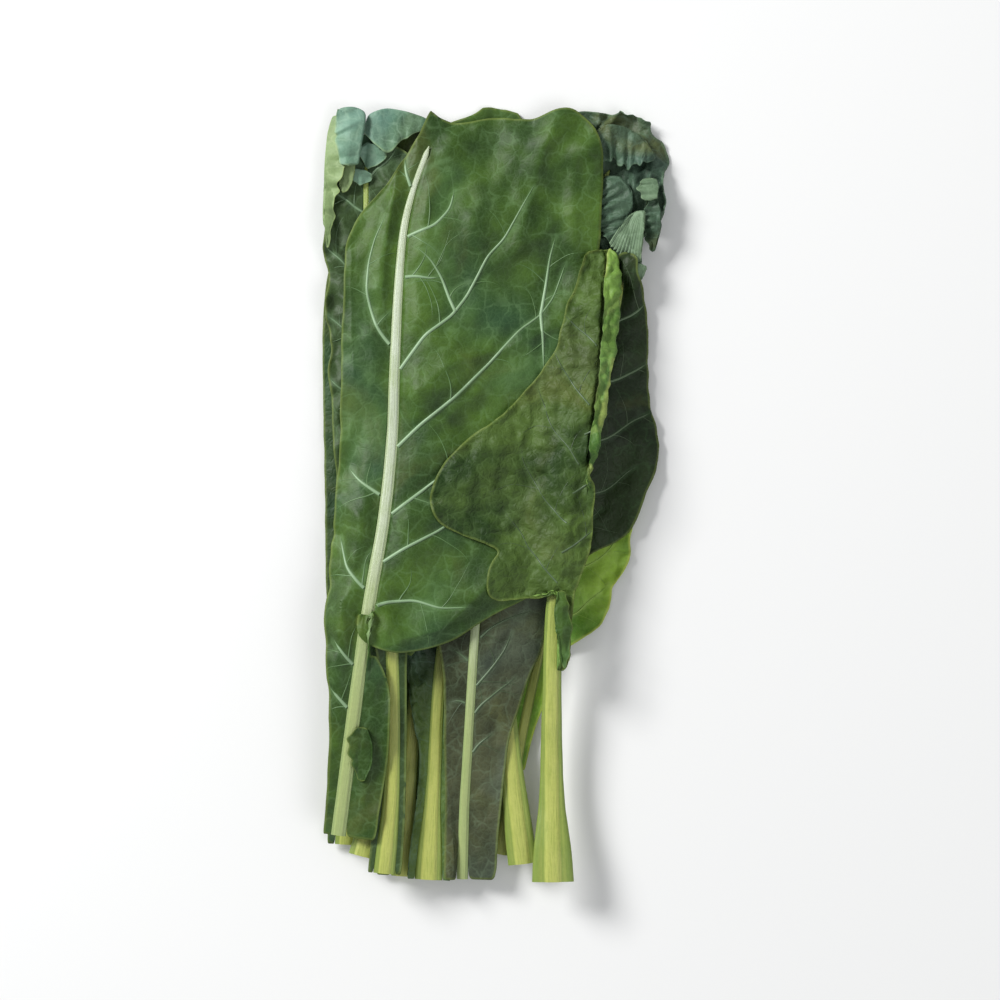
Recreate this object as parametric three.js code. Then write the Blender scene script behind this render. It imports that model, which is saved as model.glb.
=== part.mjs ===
// A bunch of ten cut kale leaves, laid flat one on another with the stalks together at the near end.
// Millimetres, +Z up. +Y runs from the cut stalks to the leaf tips, and +X to the right as seen from above.
// Each leaf is a stalk that tapers into a midrib, and a blade that grows from both sides of it.
import * as THREE from "three";

// Driving dimensions.
const BLADE_THICKNESS = 0.7;
const CLEARANCE = 0.5; // free height between a leaf and what it lies on
const RIB_SLOT = 0.45; // free width between a midrib and the blade beside it
const RIB_SHOWS = 0.8; // share of a midrib's depth at which the blade's upper side meets it
const RIB_STEP = 18; // spacing of the sections along a stalk
const DROOP_SLOPE = 0.32; // steepest fall of a blade from what holds it up
const STALK_SLOPE = 0.09; // steepest fall of a stalk
const SHOULDER = 24; // width beside the midrib over which the blade sinks from it to what it lies on
const JOIN_BEFORE = 0.6; // distance past the midrib's end where the two halves of the blade are still apart
const JOIN_AFTER = 6; // distance past the midrib's end where they have grown together
const TIP_LENGTH = 7; // how far a blade's rounded tip reaches past its last row of the table
const CUT_WEB = 1; // columns that still join the blade where its margin is cut in to the rib
const LIFT_PASSES = 40; // rounds in which a sheet is raised clear of what lies below it

// The area that the bunch may cover, and the cells of the height map laid over it.
const CELL = 2;
const AREA = { minX: -130, maxX: 130, minY: -230, maxY: 240 };
const CELLS_X = Math.round((AREA.maxX - AREA.minX) / CELL) + 1;
const CELLS_Y = Math.round((AREA.maxY - AREA.minY) / CELL) + 1;

// The leaves, lowest first. Their tables run from the cut end to the tip, and "at" is the distance along the
// stalk. A stalk has half its width, its depth and what its side wings add to each side.
// A blade has its width from midrib to margin on each side, and the degrees by which its rows lean to the tip
// (or, below zero, back to the cut end). Its margin is waved, and may be lobed, cut in or folded over.
const LEAVES = [
  {
    name: "centre_leaf",
    path: [[-49, -190], [-46, -140], [-38, -50], [-28, 50], [-14, 125], [-3, 186]],
    stalk: {
      at: [0, 60, 150, 260, 372],
      half: [4.6, 3.4, 2.8, 2, 0.9],
      depth: [6, 5, 4.4, 3.2, 1.4],
      wing: [1, 0, 0, 0, 0],
    },
    blade: {
      at: [0, 50, 100, 135, 175, 230, 280, 330, 362, 385],
      left: [8, 8, 7, 14, 40, 52, 56, 48, 34, 10],
      right: [8, 9, 8, 14, 42, 58, 62, 54, 38, 12],
      leftLean: [0, 0, 0, -20, 0, 5, 8, 12, 20, 30],
      rightLean: [0, 0, 0, -20, 0, 5, 8, 12, 20, 30],
    },
    step: 17,
    columns: 4,
    wave: { height: 1.5, length: 70, phase: 0.4 },
    lobes: { depth: 0.05, length: 42 },
  },
  {
    name: "ruffled_leaf",
    path: [[-36, -191], [-33.5, -145], [-29, -75], [-15, 0], [10, 72], [38, 132], [60, 176]],
    stalk: {
      at: [0, 50, 120, 250, 370],
      half: [5, 3.2, 2.6, 2, 0.9],
      depth: [6.5, 5, 4.2, 3.2, 1.4],
      wing: [1.5, 0, 0, 0, 0],
    },
    blade: {
      at: [0, 60, 90, 115, 150, 200, 245, 285, 325, 355, 380, 398],
      left: [4, 4, 12, 16, 30, 40, 45, 48, 48, 42, 28, 10],
      right: [4, 4, 6, 14, 30, 36, 36, 34, 32, 33, 27, 9],
      leftLean: [0, 0, -35, -15, 0, 5, 10, 14, 18, 22, 28, 34],
      rightLean: [0, 0, 0, -15, 0, 5, 8, 10, 12, 16, 24, 34],
    },
    step: 7,
    fineFrom: 250,
    columns: 5,
    wave: { height: 6, length: 34, phase: 1.1 },
    lobes: { depth: 0.09, length: 27 },
  },
  {
    name: "left_leaf",
    path: [[-78, -174], [-74, -100], [-73, -25], [-75, 50], [-76, 100], [-72, 138]],
    stalk: {
      at: [0, 60, 160, 240, 305],
      half: [4, 3.4, 2.6, 1.8, 0.9],
      depth: [5.5, 4.6, 3.8, 2.8, 1.4],
      wing: [1, 0, 0, 0, 0],
    },
    blade: {
      at: [0, 60, 100, 140, 190, 240, 285, 316],
      left: [4, 5, 9, 12, 12, 12, 11, 5],
      right: [5, 6, 14, 32, 40, 38, 26, 7],
      leftLean: [0, 0, 0, 4, 6, 8, 14, 26],
      rightLean: [0, 0, -15, 0, 5, 8, 16, 28],
    },
    step: 14,
    columns: 4,
    wave: { height: 2, length: 60, phase: 2.0 },
  },
  {
    name: "thick_stalk_leaf",
    path: [[-69, -179], [-58, -135], [-52, -78], [-47, -30], [-43, 25], [-42, 80], [-46, 130], [-52, 178]],
    stalk: {
      at: [0, 50, 110, 220, 348],
      half: [5.6, 4.9, 4.4, 2.6, 0.9],
      depth: [8, 7.4, 6.2, 3.8, 1.4],
      wing: [1, 0, 0, 0, 0],
    },
    blade: {
      at: [104, 130, 165, 210, 255, 295, 325, 350, 368],
      left: [3, 14, 26, 34, 38, 36, 30, 22, 8],
      right: [3, 20, 38, 48, 52, 50, 42, 28, 8],
      leftLean: [-20, -15, -5, 5, 10, 14, 18, 24, 32],
      rightLean: [-20, -15, -5, 5, 10, 14, 18, 24, 32],
    },
    step: 14,
    columns: 4,
    wave: { height: 2, length: 64, phase: 0.9 },
  },
  {
    name: "upturned_leaf",
    path: [[-58, -187], [-54, -140], [-54, -75], [-59, 0], [-64, 75], [-67, 125], [-68, 176]],
    stalk: {
      at: [0, 50, 140, 260, 352],
      half: [3.6, 3, 2.6, 1.8, 0.9],
      depth: [5, 4.2, 3.6, 2.6, 1.4],
      wing: [1.4, 0.4, 0, 0, 0],
    },
    blade: {
      at: [0, 60, 110, 150, 200, 250, 290, 320, 346, 366],
      left: [3, 3, 4, 14, 20, 20, 20, 20, 19, 10],
      right: [3, 3, 4, 16, 28, 32, 33, 33, 30, 12],
      leftLean: [0, 0, 0, -10, 0, 5, 8, 12, 16, 26],
      rightLean: [0, 0, 0, -10, 0, 5, 8, 12, 16, 26],
    },
    step: 7.5,
    fineFrom: 240,
    columns: 4,
    wave: { height: 4.5, length: 36, phase: 2.4 },
    lobes: { depth: 0.06, length: 31 },
  },
  {
    name: "bright_leaf",
    path: [[0, -179], [9, -130], [20.5, -75], [28, -45], [37.5, -10], [44, 25], [49, 58]],
    stalk: {
      at: [0, 50, 110, 180, 236],
      half: [3, 2.2, 2, 1.6, 0.9],
      depth: [5, 4.2, 3.6, 2.6, 1.4],
      wing: [1.4, 0, 0, 0, 0],
    },
    blade: {
      at: [44, 66, 84, 100, 112, 126, 142, 158, 174, 192, 212, 232, 248],
      left: [3, 5, 5, 4, 5, 12, 18, 22, 24, 24, 20, 13, 5],
      right: [2, 3, 6, 4, 12, 26, 26, 31, 27, 28, 24, 15, 5],
      leftLean: [0, 0, 0, 0, -20, -15, -5, 0, 5, 8, 12, 18, 28],
      rightLean: [0, 0, 0, 0, -8, 2, 8, 10, 12, 14, 16, 20, 28],
    },
    step: 11,
    columns: 4,
    wave: { height: 4, length: 30, phase: 0.2 },
    lobes: { depth: 0.07, length: 21 },
  },
  {
    name: "dark_leaf",
    path: [[11.5, -183], [4, -117], [2.5, -75], [12, -22], [34, 26], [54, 76], [63, 116]],
    stalk: {
      at: [0, 60, 130, 220, 300],
      half: [4.6, 3.8, 3, 2, 0.9],
      depth: [7, 6, 4.6, 3, 1.4],
      wing: [2.4, 1, 0, 0, 0],
    },
    blade: {
      at: [96, 125, 155, 176, 198, 220, 245, 270, 292, 312],
      left: [3, 16, 26, 32, 36, 36, 34, 28, 18, 6],
      right: [3, 10, 24, 36, 45, 44, 30, 19, 13, 6],
      leftLean: [0, -10, 0, 5, 8, 10, 12, 16, 22, 30],
      rightLean: [0, -10, 2, 2, 2, 4, 8, 12, 18, 28],
    },
    step: 13,
    columns: 4,
    wave: { height: 2, length: 58, phase: 1.7 },
    lobes: { depth: 0.05, length: 44 },
  },
  {
    name: "grey_leaf",
    path: [
      [-19, -191], [-18, -156], [-16.5, -130], [-14.5, -96], [-12.5, -65],
      [-10, -30], [-6, 10], [-2, 50], [0, 82],
    ],
    stalk: {
      at: [0, 60, 125, 200, 272],
      half: [2.3, 2, 1.8, 1.4, 0.9],
      depth: [4.4, 4, 3.4, 2.6, 1.4],
      wing: [0, 0, 0, 0, 0],
    },
    blade: {
      at: [0, 35, 61, 74, 85, 102, 112, 122, 137, 162, 200, 240, 270, 290],
      left: [6.5, 7, 9, 10, 10.5, 12, 14, 17, 24, 34, 40, 36, 24, 7],
      right: [14, 16, 17, 18, 22, 26, 31, 33, 34, 36, 40, 36, 24, 7],
      leftLean: [0, 0, 0, 0, 0, 2, 2, 2, 4, 6, 8, 12, 18, 28],
      rightLean: [0, 0, 0, 0, 2, 4, 5, 6, 6, 6, 8, 12, 18, 28],
    },
    step: 14,
    columns: 4,
    wave: { height: 1, length: 80, phase: 0.3 },
  },
  {
    name: "front_leaf",
    path: [
      [-81, -168], [-76, -130], [-70, -85], [-64, -45], [-58, -10], [-54, 30],
      [-52.5, 70], [-51, 105], [-48.5, 135], [-44, 155], [-38, 172],
    ],
    stalk: {
      at: [0, 110, 220, 300, 345],
      half: [3.3, 2.9, 2.4, 1.6, 0.9],
      depth: [5, 4.4, 3.6, 2.4, 1.4],
      wing: [0, 0, 0, 0, 0],
    },
    // The right half is cut in to the midrib below its lowest lobe, which swings round over the midrib.
    blade: {
      at: [
        0, 45, 68, 82, 92, 112, 112.8, 113.6, 114.4, 115.2, 116, 116.8, 118, 119.5, 121.5, 124.5, 129,
        140, 165, 210, 255, 295, 322, 351, 366,
      ],
      left: [
        4, 6, 9, 12, 14, 18, 18, 18, 18, 18, 18, 18, 18, 18, 18, 19, 20,
        21, 23, 24, 25, 27, 12, 7, 6,
      ],
      right: [
        15.5, 16, 14.5, 11, 4, 8, 10.5, 14, 17, 20.5, 25, 31, 42, 48, 56, 70, 84,
        92, 97, 99, 99, 99, 95, 86, 76,
      ],
      leftLean: [
        0, 0, 0, 0, 0, 4, 4, 4, 4, 4, 4, 4, 4, 4, 4, 4, 4,
        5, 8, 10, 12, 14, 16, 18, 20,
      ],
      rightLean: [
        0, 0, 0, 0, 0, -178, -140, -118, -96, -73, -55, -38, -19, -10, -2, 4, 8,
        9, 9, 8, 9, 12, 18, 22, 21,
      ],
    },
    cutAfter: 4,
    endShift: [-3, -5.5, 1, -2, -3, 6, -4],
    step: 14,
    columns: 6,
    wave: { height: 3, length: 74, phase: 0.8 },
  },
  {
    name: "curled_leaf",
    path: [[26.5, -191], [26, -150], [26, -100], [27.5, -50], [33.5, -10], [42.5, 35], [48, 75], [50, 106]],
    stalk: {
      at: [0, 50, 130, 220, 300],
      half: [4.6, 4.3, 3.9, 2.6, 0.9],
      depth: [8, 7, 6, 4, 1.4],
      wing: [5.5, 1, 0, 0, 0],
    },
    // The blade lies over the midrib. A small lobe hangs beside the stalk. The right margin is turned over.
    covered: true,
    blade: {
      at: [
        106, 110, 128, 140, 146.5, 147.5, 155, 163, 168, 171, 176, 180, 187,
        205, 220, 235, 251, 265, 285, 294, 300, 312,
      ],
      left: [
        0.6, 0.6, 0.6, 0.6, 0.6, 37, 36.5, 35, 29.5, 42, 59, 66.5, 71,
        62, 46, 34, 25.6, 20, 17, 13, 11, 9,
      ],
      right: [3, 6, 6, 6.5, 8, 8.5, 12, 13.5, 14, 14, 14, 13, 12, 12.5, 14, 16, 18, 19.5, 20.5, 21, 21, 17],
      leftLean: [
        -10, -10, -10, -10, -20, -23, -13.5, -12, -14, -11.4, -10, -8, -6,
        0, 4, 8, 10, 10, 10, 10, 12, 16,
      ],
      rightLean: [-10, -10, -10, -10, -6, -4, 4, 6, 8, 8, 8, 8, 8, 8, 8, 8, 8, 8, 8, 8, 8, 10],
      shift: [3, 3, 3, 3, 1.5, 1.3, 0, 0, 0, 0, 0, 0, 0, 0, 0, 0, 0, 0, 0, 0, 0, 0],
    },
    step: 9,
    columns: 5,
    rightShares: [0, 0.2, 0.39, 0.463, 0.537, 0.61, 0.683, 0.84, 1],
    wave: { height: 3.5, length: 31, phase: 0.6 },
    fold: { from: 196, full: 216, offset: 0.39, radius: 1.9 },
  },
];
// The bunch is shifted so that its origin lies under the middle of its outline.
const MIDDLE = new THREE.Vector2(-1.8, 4.4);

const { clamp, lerp, smoothstep, degToRad } = THREE.MathUtils;

// Value of a table at a distance, by a curve that never swings past the values beside it.
function valueAt(at, values, distance) {
  const last = at.length - 1;
  if (distance <= at[0]) {
    return values[0];
  }
  if (distance >= at[last]) {
    return values[last];
  }
  let k = 0;
  while (distance > at[k + 1]) {
    k += 1;
  }
  const slope = (i) => (values[i + 1] - values[i]) / (at[i + 1] - at[i]);
  const tangent = (i) => {
    if (i === 0 || i === last || slope(i - 1) * slope(i) <= 0) {
      return 0;
    }
    return (2 * slope(i - 1) * slope(i)) / (slope(i - 1) + slope(i));
  };
  const gap = at[k + 1] - at[k];
  const u = (distance - at[k]) / gap;
  const rise = values[k + 1] - values[k];
  const bend = u * (1 - u) * ((1 - u) * (tangent(k) * gap - rise) - u * (tangent(k + 1) * gap - rise));
  return values[k] + rise * u + bend;
}

// The upper side of everything laid down so far, as one height for each cell.
class HeightMap {
  constructor(heights = new Float64Array(CELLS_X * CELLS_Y)) {
    this.heights = heights;
  }

  copy() {
    return new HeightMap(this.heights.slice());
  }

  cell(i, j) {
    const column = clamp(i, 0, CELLS_X - 1);
    const row = clamp(j, 0, CELLS_Y - 1);
    return this.heights[row * CELLS_X + column];
  }

  at(x, y) {
    const u = (x - AREA.minX) / CELL;
    const v = (y - AREA.minY) / CELL;
    const i = Math.floor(u);
    const j = Math.floor(v);
    const near = lerp(this.cell(i, j), this.cell(i + 1, j), u - i);
    const far = lerp(this.cell(i, j + 1), this.cell(i + 1, j + 1), u - i);
    return lerp(near, far, v - j);
  }

  // Calls back with each cell under a triangle and the cell's shares of the three corners.
  static under(a, b, c, visit) {
    const area = (b.x - a.x) * (c.y - a.y) - (c.x - a.x) * (b.y - a.y);
    if (Math.abs(area) < 1e-9) {
      return;
    }
    const firstX = Math.ceil((Math.min(a.x, b.x, c.x) - AREA.minX) / CELL);
    const lastX = Math.floor((Math.max(a.x, b.x, c.x) - AREA.minX) / CELL);
    const firstY = Math.ceil((Math.min(a.y, b.y, c.y) - AREA.minY) / CELL);
    const lastY = Math.floor((Math.max(a.y, b.y, c.y) - AREA.minY) / CELL);
    for (let j = firstY; j <= lastY; j += 1) {
      for (let i = firstX; i <= lastX; i += 1) {
        const x = AREA.minX + i * CELL;
        const y = AREA.minY + j * CELL;
        const shareB = ((x - a.x) * (c.y - a.y) - (c.x - a.x) * (y - a.y)) / area;
        const shareC = ((b.x - a.x) * (y - a.y) - (x - a.x) * (b.y - a.y)) / area;
        const shareA = 1 - shareB - shareC;
        if (shareA >= 0 && shareB >= 0 && shareC >= 0) {
          visit(i, j, shareA, shareB, shareC);
        }
      }
    }
  }

  raise(points, triangles) {
    const lift = (i, j, z) => {
      const k = j * CELLS_X + i;
      this.heights[k] = Math.max(this.heights[k], z);
    };
    for (const [a, b, c] of triangles.map((corners) => corners.map((k) => points[k]))) {
      HeightMap.under(a, b, c, (i, j, p, q, r) => lift(i, j, p * a.z + q * b.z + r * c.z));
    }
    for (const p of points) {
      lift(Math.round((p.x - AREA.minX) / CELL), Math.round((p.y - AREA.minY) / CELL), p.z);
    }
  }

  // Highest of each cell and those round it, which also covers edges that run between cells.
  widened() {
    const out = new Float64Array(this.heights.length);
    for (let j = 0; j < CELLS_Y; j += 1) {
      for (let i = 0; i < CELLS_X; i += 1) {
        let top = 0;
        for (let k = 0; k < 9; k += 1) {
          top = Math.max(top, this.cell(i - 1 + (k % 3), j - 1 + Math.floor(k / 3)));
        }
        out[j * CELLS_X + i] = top;
      }
    }
    return new HeightMap(out);
  }

  // The same heights with nothing falling away more steeply than the slope given.
  drooping(slope) {
    const out = this.copy();
    const sweep = (j, i, rows, columns) => {
      const k = j * CELLS_X + i;
      const across = Math.SQRT2;
      const beside = [[columns, 0, 1], [0, rows, 1], [columns, rows, across], [-columns, rows, across]];
      for (const [di, dj, far] of beside) {
        if (i + di >= 0 && i + di < CELLS_X && j + dj >= 0 && j + dj < CELLS_Y) {
          out.heights[k] = Math.max(out.heights[k], out.cell(i + di, j + dj) - slope * CELL * far);
        }
      }
    };
    for (let pass = 0; pass < 2; pass += 1) {
      for (let j = 0; j < CELLS_Y; j += 1) {
        for (let i = 0; i < CELLS_X; i += 1) {
          sweep(j, i, -1, -1);
        }
        for (let i = CELLS_X - 1; i >= 0; i -= 1) {
          sweep(j, i, -1, 1);
        }
      }
      for (let j = CELLS_Y - 1; j >= 0; j -= 1) {
        for (let i = CELLS_X - 1; i >= 0; i -= 1) {
          sweep(j, i, 1, 1);
        }
        for (let i = 0; i < CELLS_X; i += 1) {
          sweep(j, i, 1, -1);
        }
      }
    }
    return out;
  }

  smoothed(passes) {
    let from = this;
    for (let pass = 0; pass < passes; pass += 1) {
      const out = new Float64Array(this.heights.length);
      for (let j = 0; j < CELLS_Y; j += 1) {
        for (let i = 0; i < CELLS_X; i += 1) {
          const sides = from.cell(i - 1, j) + from.cell(i + 1, j) + from.cell(i, j - 1) + from.cell(i, j + 1);
          out[j * CELLS_X + i] = from.cell(i, j) / 3 + sides / 6;
        }
      }
      from = new HeightMap(out);
    }
    return from;
  }
}

// Raises the corners of a sheet until no triangle of it reaches below the floor.
function liftClear(points, triangles, floor, gap) {
  for (let pass = 0; pass < LIFT_PASSES; pass += 1) {
    let moved = false;
    const push = (corners, shares, lack) => {
      if (lack > 1e-4) {
        const total = shares.reduce((sum, share) => sum + share * share, 0);
        corners.forEach((corner, k) => {
          corner.z += (lack * shares[k]) / total;
        });
        moved = true;
      }
    };
    for (const corners of triangles.map((triangle) => triangle.map((k) => points[k]))) {
      const [a, b, c] = corners;
      HeightMap.under(a, b, c, (i, j, p, q, r) => {
        push(corners, [p, q, r], floor.cell(i, j) + gap - (p * a.z + q * b.z + r * c.z));
      });
      for (const corner of corners) {
        push([corner], [1], floor.at(corner.x, corner.y) + gap - corner.z);
      }
    }
    if (!moved) {
      return;
    }
  }
}

// Outer edges of a set of triangles, each in the direction in which its own triangle runs.
function outerEdges(triangles) {
  const edges = new Map();
  for (const [a, b, c] of triangles) {
    for (const [from, to] of [[a, b], [b, c], [c, a]]) {
      if (!edges.delete(`${to} ${from}`)) {
        edges.set(`${from} ${to}`, [from, to]);
      }
    }
  }
  return [...edges.values()];
}

function closedMesh(name, points, triangles, color, roughness) {
  const geometry = new THREE.BufferGeometry();
  const corners = points.flatMap((p) => [p.x, p.y, p.z]);
  geometry.setAttribute("position", new THREE.Float32BufferAttribute(corners, 3));
  geometry.setIndex(triangles.flat());
  geometry.computeVertexNormals();
  const mesh = new THREE.Mesh(geometry, new THREE.MeshStandardMaterial({ color, roughness, metalness: 0 }));
  mesh.name = name;
  return mesh;
}

class Leaf {
  constructor(leaf, ground) {
    this.leaf = leaf;
    this.ground = ground;
    this.gap = ground.heights.some((z) => z > 0) ? CLEARANCE : 0;
    this.held = ground.widened();
    this.curve = new THREE.SplineCurve(leaf.path.map(([x, y]) => new THREE.Vector2(x, y)));
    this.curve.arcLengthDivisions = 600;
    this.length = this.curve.getLength();
    this.ribEnd = leaf.stalk.at.at(-1);
  }

  // Place on the stalk's line, the way ahead along it and the way across it to the right.
  place(distance) {
    const u = clamp(distance / this.length, 0, 1);
    const ahead = this.curve.getTangentAt(u);
    const point = this.curve.getPointAt(u).addScaledVector(ahead, distance - u * this.length);
    return { point, ahead, right: new THREE.Vector2(ahead.y, -ahead.x) };
  }

  ribHalf(distance) {
    const { at, half, wing } = this.leaf.stalk;
    return valueAt(at, half, distance) + valueAt(at, wing, distance);
  }

  // Underside of the stalk: stiff enough to bridge the hollows below it.
  layStalk() {
    const count = Math.ceil(this.ribEnd / RIB_STEP);
    const step = this.ribEnd / count;
    const parts = Math.round(step / CELL);
    const fine = Array.from({ length: count * parts + 1 }, (_, k) => (k * step) / parts);
    const need = fine.map((distance) => {
      const { point, right } = this.place(distance);
      const half = this.ribHalf(distance);
      let top = 0;
      for (let k = -3; k <= 3; k += 1) {
        const under = point.clone().addScaledVector(right, (half * k) / 3);
        top = Math.max(top, this.held.at(under.x, under.y));
      }
      return top + this.gap;
    });
    const heights = Array.from({ length: count + 1 }, (_, k) => {
      return Math.max(...need.map((z, n) => z - STALK_SLOPE * Math.abs(fine[n] - k * step)));
    });
    const eased = heights.map((z, k) => {
      return (heights[Math.max(k - 1, 0)] + 2 * z + heights[Math.min(k + 1, count)]) / 4;
    });
    for (let pass = 0; pass < LIFT_PASSES; pass += 1) {
      fine.forEach((distance, n) => {
        const k = Math.min(Math.floor(distance / step), count - 1);
        const u = distance / step - k;
        const lack = need[n] - lerp(eased[k], eased[k + 1], u);
        if (lack > 1e-4) {
          const total = (1 - u) * (1 - u) + u * u;
          eased[k] += (lack * (1 - u)) / total;
          eased[k + 1] += (lack * u) / total;
        }
      });
    }
    this.ribStep = step;
    this.ribHeights = eased;
  }

  ribUnderside(distance) {
    const k = clamp(Math.floor(distance / this.ribStep), 0, this.ribHeights.length - 2);
    return lerp(this.ribHeights[k], this.ribHeights[k + 1], clamp(distance / this.ribStep - k, 0, 1));
  }

  stalkMesh() {
    const { at, half, depth, wing } = this.leaf.stalk;
    const points = [];
    const triangles = [];
    const sides = 8;
    this.ribHeights.forEach((z, k) => {
      const distance = k * this.ribStep;
      const { point, right } = this.place(distance);
      const w = valueAt(at, half, distance);
      const d = valueAt(at, depth, distance);
      const edge = w + valueAt(at, wing, distance);
      const section = [
        [-0.4 * w, 0], [0.4 * w, 0], [0.88 * w, 0.3 * d], [edge, 0.68 * d],
        [0.55 * w, d], [-0.55 * w, d], [-edge, 0.68 * d], [-0.88 * w, 0.3 * d],
      ];
      for (const [across, up] of section) {
        points.push(new THREE.Vector3(point.x + right.x * across, point.y + right.y * across, z + up));
      }
      if (k > 0) {
        const now = k * sides;
        const before = now - sides;
        for (let s = 0; s < sides; s += 1) {
          const next = (s + 1) % sides;
          triangles.push([before + s, now + next, before + next], [before + s, now + s, now + next]);
        }
      }
    });
    const tip = points.length - sides;
    for (let s = 1; s < sides - 1; s += 1) {
      triangles.push([0, s, s + 1], [tip, tip + s + 1, tip + s]);
    }
    return { points, triangles };
  }

  // Distances along the stalk at which the blade has a row of corners.
  rowDistances() {
    const { at } = this.leaf.blade;
    const fixed = [...at];
    if (!this.leaf.covered) {
      fixed.push(this.ribEnd + JOIN_BEFORE, this.ribEnd + JOIN_AFTER);
    }
    if (!this.leaf.endShift) {
      fixed.push(at.at(-1) + TIP_LENGTH * 0.55, at.at(-1) + TIP_LENGTH * 0.93);
    }
    const sorted = fixed.sort((a, b) => a - b).filter((t, k, all) => k === 0 || t - all[k - 1] > 0.5);
    const cut = this.leaf.cutAfter === undefined ? -1 : at[this.leaf.cutAfter];
    return sorted.flatMap((from, k) => {
      const gap = k + 1 < sorted.length ? sorted[k + 1] - from : 0;
      const step = from < (this.leaf.fineFrom ?? 0) ? 2 * this.leaf.step : this.leaf.step;
      const parts = from === cut ? 1 : Math.max(1, Math.ceil(gap / step));
      return Array.from({ length: gap > 0 ? parts : 1 }, (_, n) => from + (gap * n) / parts);
    });
  }

  bladeWidth(distance, side) {
    const { blade, lobes } = this.leaf;
    const width = valueAt(blade.at, side < 0 ? blade.left : blade.right, distance);
    if (!lobes) {
      return width;
    }
    const turn = (2 * Math.PI * distance) / lobes.length + (side < 0 ? 1.3 : 0);
    return width * (1 + lobes.depth * smoothstep(width, 8, 20) * Math.sin(turn));
  }

  // Way out across the blade on one side of the stalk (-1 is left), where it starts and how far it goes.
  crossing(distance, side) {
    const { blade, covered } = this.leaf;
    const { point, ahead, right } = this.place(distance);
    if (blade.shift) {
      point.addScaledVector(right, valueAt(blade.at, blade.shift, distance));
    }
    const past = Math.max(distance - blade.at.at(-1), 0) / TIP_LENGTH;
    const leans = side < 0 ? blade.leftLean : blade.rightLean;
    const lean = (1 - past) * degToRad(valueAt(blade.at, leans, distance));
    const joined = covered || distance > this.ribEnd + JOIN_BEFORE + 0.1;
    const inner = joined ? 0 : this.ribHalf(Math.min(distance, this.ribEnd)) + RIB_SLOT;
    const out = right.clone().multiplyScalar(side * Math.cos(lean)).addScaledVector(ahead, Math.sin(lean));
    return {
      from: point.clone().addScaledVector(right, side * inner),
      out,
      ahead,
      joined,
      lean,
      width: this.bladeWidth(distance, side) * Math.sqrt(1 - past * past),
    };
  }

  // Shares of the blade's width at which its corners lie, from the midrib out.
  shares(side) {
    const { columns, rightShares } = this.leaf;
    return side > 0 && rightShares ? rightShares : Array.from({ length: columns + 1 }, (_, c) => c / columns);
  }

  // Lift of the waved margin, nothing at the midrib and most at the edge.
  waveLift(distance, side, share) {
    const { height, length, phase } = this.leaf.wave;
    const turn = (2 * Math.PI * distance) / length + phase + (side > 0 ? 2.1 : 0);
    const swing = 0.5 + 0.34 * Math.sin(turn) + 0.16 * Math.sin(1.63 * turn + 0.8);
    return height * swing * share ** 1.7;
  }

  bladeMesh(stalk) {
    const { fold, covered, cutAfter, blade, endShift } = this.leaf;
    const base = this.ground.copy();
    if (covered) {
      base.raise(stalk.points, stalk.triangles);
    }
    const held = base.widened();
    const droop = held.drooping(DROOP_SLOPE).smoothed(3);
    const distances = this.rowDistances();
    const cut = cutAfter === undefined ? -1 : blade.at[cutAfter];
    const points = [];
    const rows = distances.map((distance) => {
      const row = { distance, left: [], right: [] };
      const ribTop = this.ribUnderside(Math.min(distance, this.ribEnd));
      const ribDepth = valueAt(this.leaf.stalk.at, this.leaf.stalk.depth, distance);
      const beside = ribTop + RIB_SHOWS * ribDepth - BLADE_THICKNESS;
      for (const side of [-1, 1]) {
        const { from, out, ahead, joined, lean, width } = this.crossing(distance, side);
        const swung = Math.abs(lean) > 0.8;
        const atEnd = endShift && side > 0 && distance === distances.at(-1);
        for (const [c, share] of this.shares(side).entries()) {
          const s = share * width;
          if (side > 0 && c === 0 && joined) {
            row.right.push(row.left[0]);
            continue;
          }
          const on = atEnd ? endShift[c] : 0;
          const x = from.x + out.x * s + ahead.x * on;
          const y = from.y + out.y * s + ahead.y * on;
          const lying = droop.at(x, y) + this.gap + this.waveLift(distance, side, share);
          const sinking = lerp(Math.max(beside, lying - 4), lying, smoothstep(s, 0, SHOULDER));
          const sunk = joined && !covered ? lying : sinking;
          const point = new THREE.Vector3(x, y, covered ? lying : sunk);
          const over = swung && side > 0;
          Object.assign(point, { across: s, out, swung: over, inner: c === 0, ribTop: ribTop + ribDepth });
          row[side < 0 ? "left" : "right"].push(points.length);
          points.push(point);
        }
      }
      return row;
    });
    const triangles = [];
    const over = [];
    for (let k = 1; k < rows.length; k += 1) {
      for (const side of ["left", "right"]) {
        const a = rows[k - 1][side];
        const b = rows[k][side];
        const atCut = side === "right" && rows[k - 1].distance === cut;
        const swung = points[a[1]].swung || points[b[1]].swung;
        for (let c = 0; c < (atCut ? CUT_WEB : a.length - 1); c += 1) {
          const quad = [[a[c], a[c + 1], b[c + 1]], [a[c], b[c + 1], b[c]]];
          const facing = side === "right" ? quad : quad.map(([p, q, r]) => [p, r, q]);
          const real = facing.filter(([p, q, r]) => p !== q && q !== r && r !== p);
          (swung ? over : triangles).push(...real);
        }
      }
    }
    liftClear(points, triangles, held, this.gap);
    if (over.length > 0) {
      const own = this.ground.copy();
      own.raise(stalk.points, stalk.triangles);
      const used = new Set(triangles.flat().filter((k) => !points[k].swung));
      own.raise([...used].map((k) => points[k].clone().setZ(points[k].z + BLADE_THICKNESS)), []);
      const upper = points.map((p) => p.clone().setZ(p.z + BLADE_THICKNESS));
      own.raise(upper, triangles.filter((triangle) => triangle.every((k) => !points[k].swung)));
      for (const p of points.filter((q) => q.swung && q.inner)) {
        p.z = p.ribTop + CLEARANCE;
      }
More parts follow.
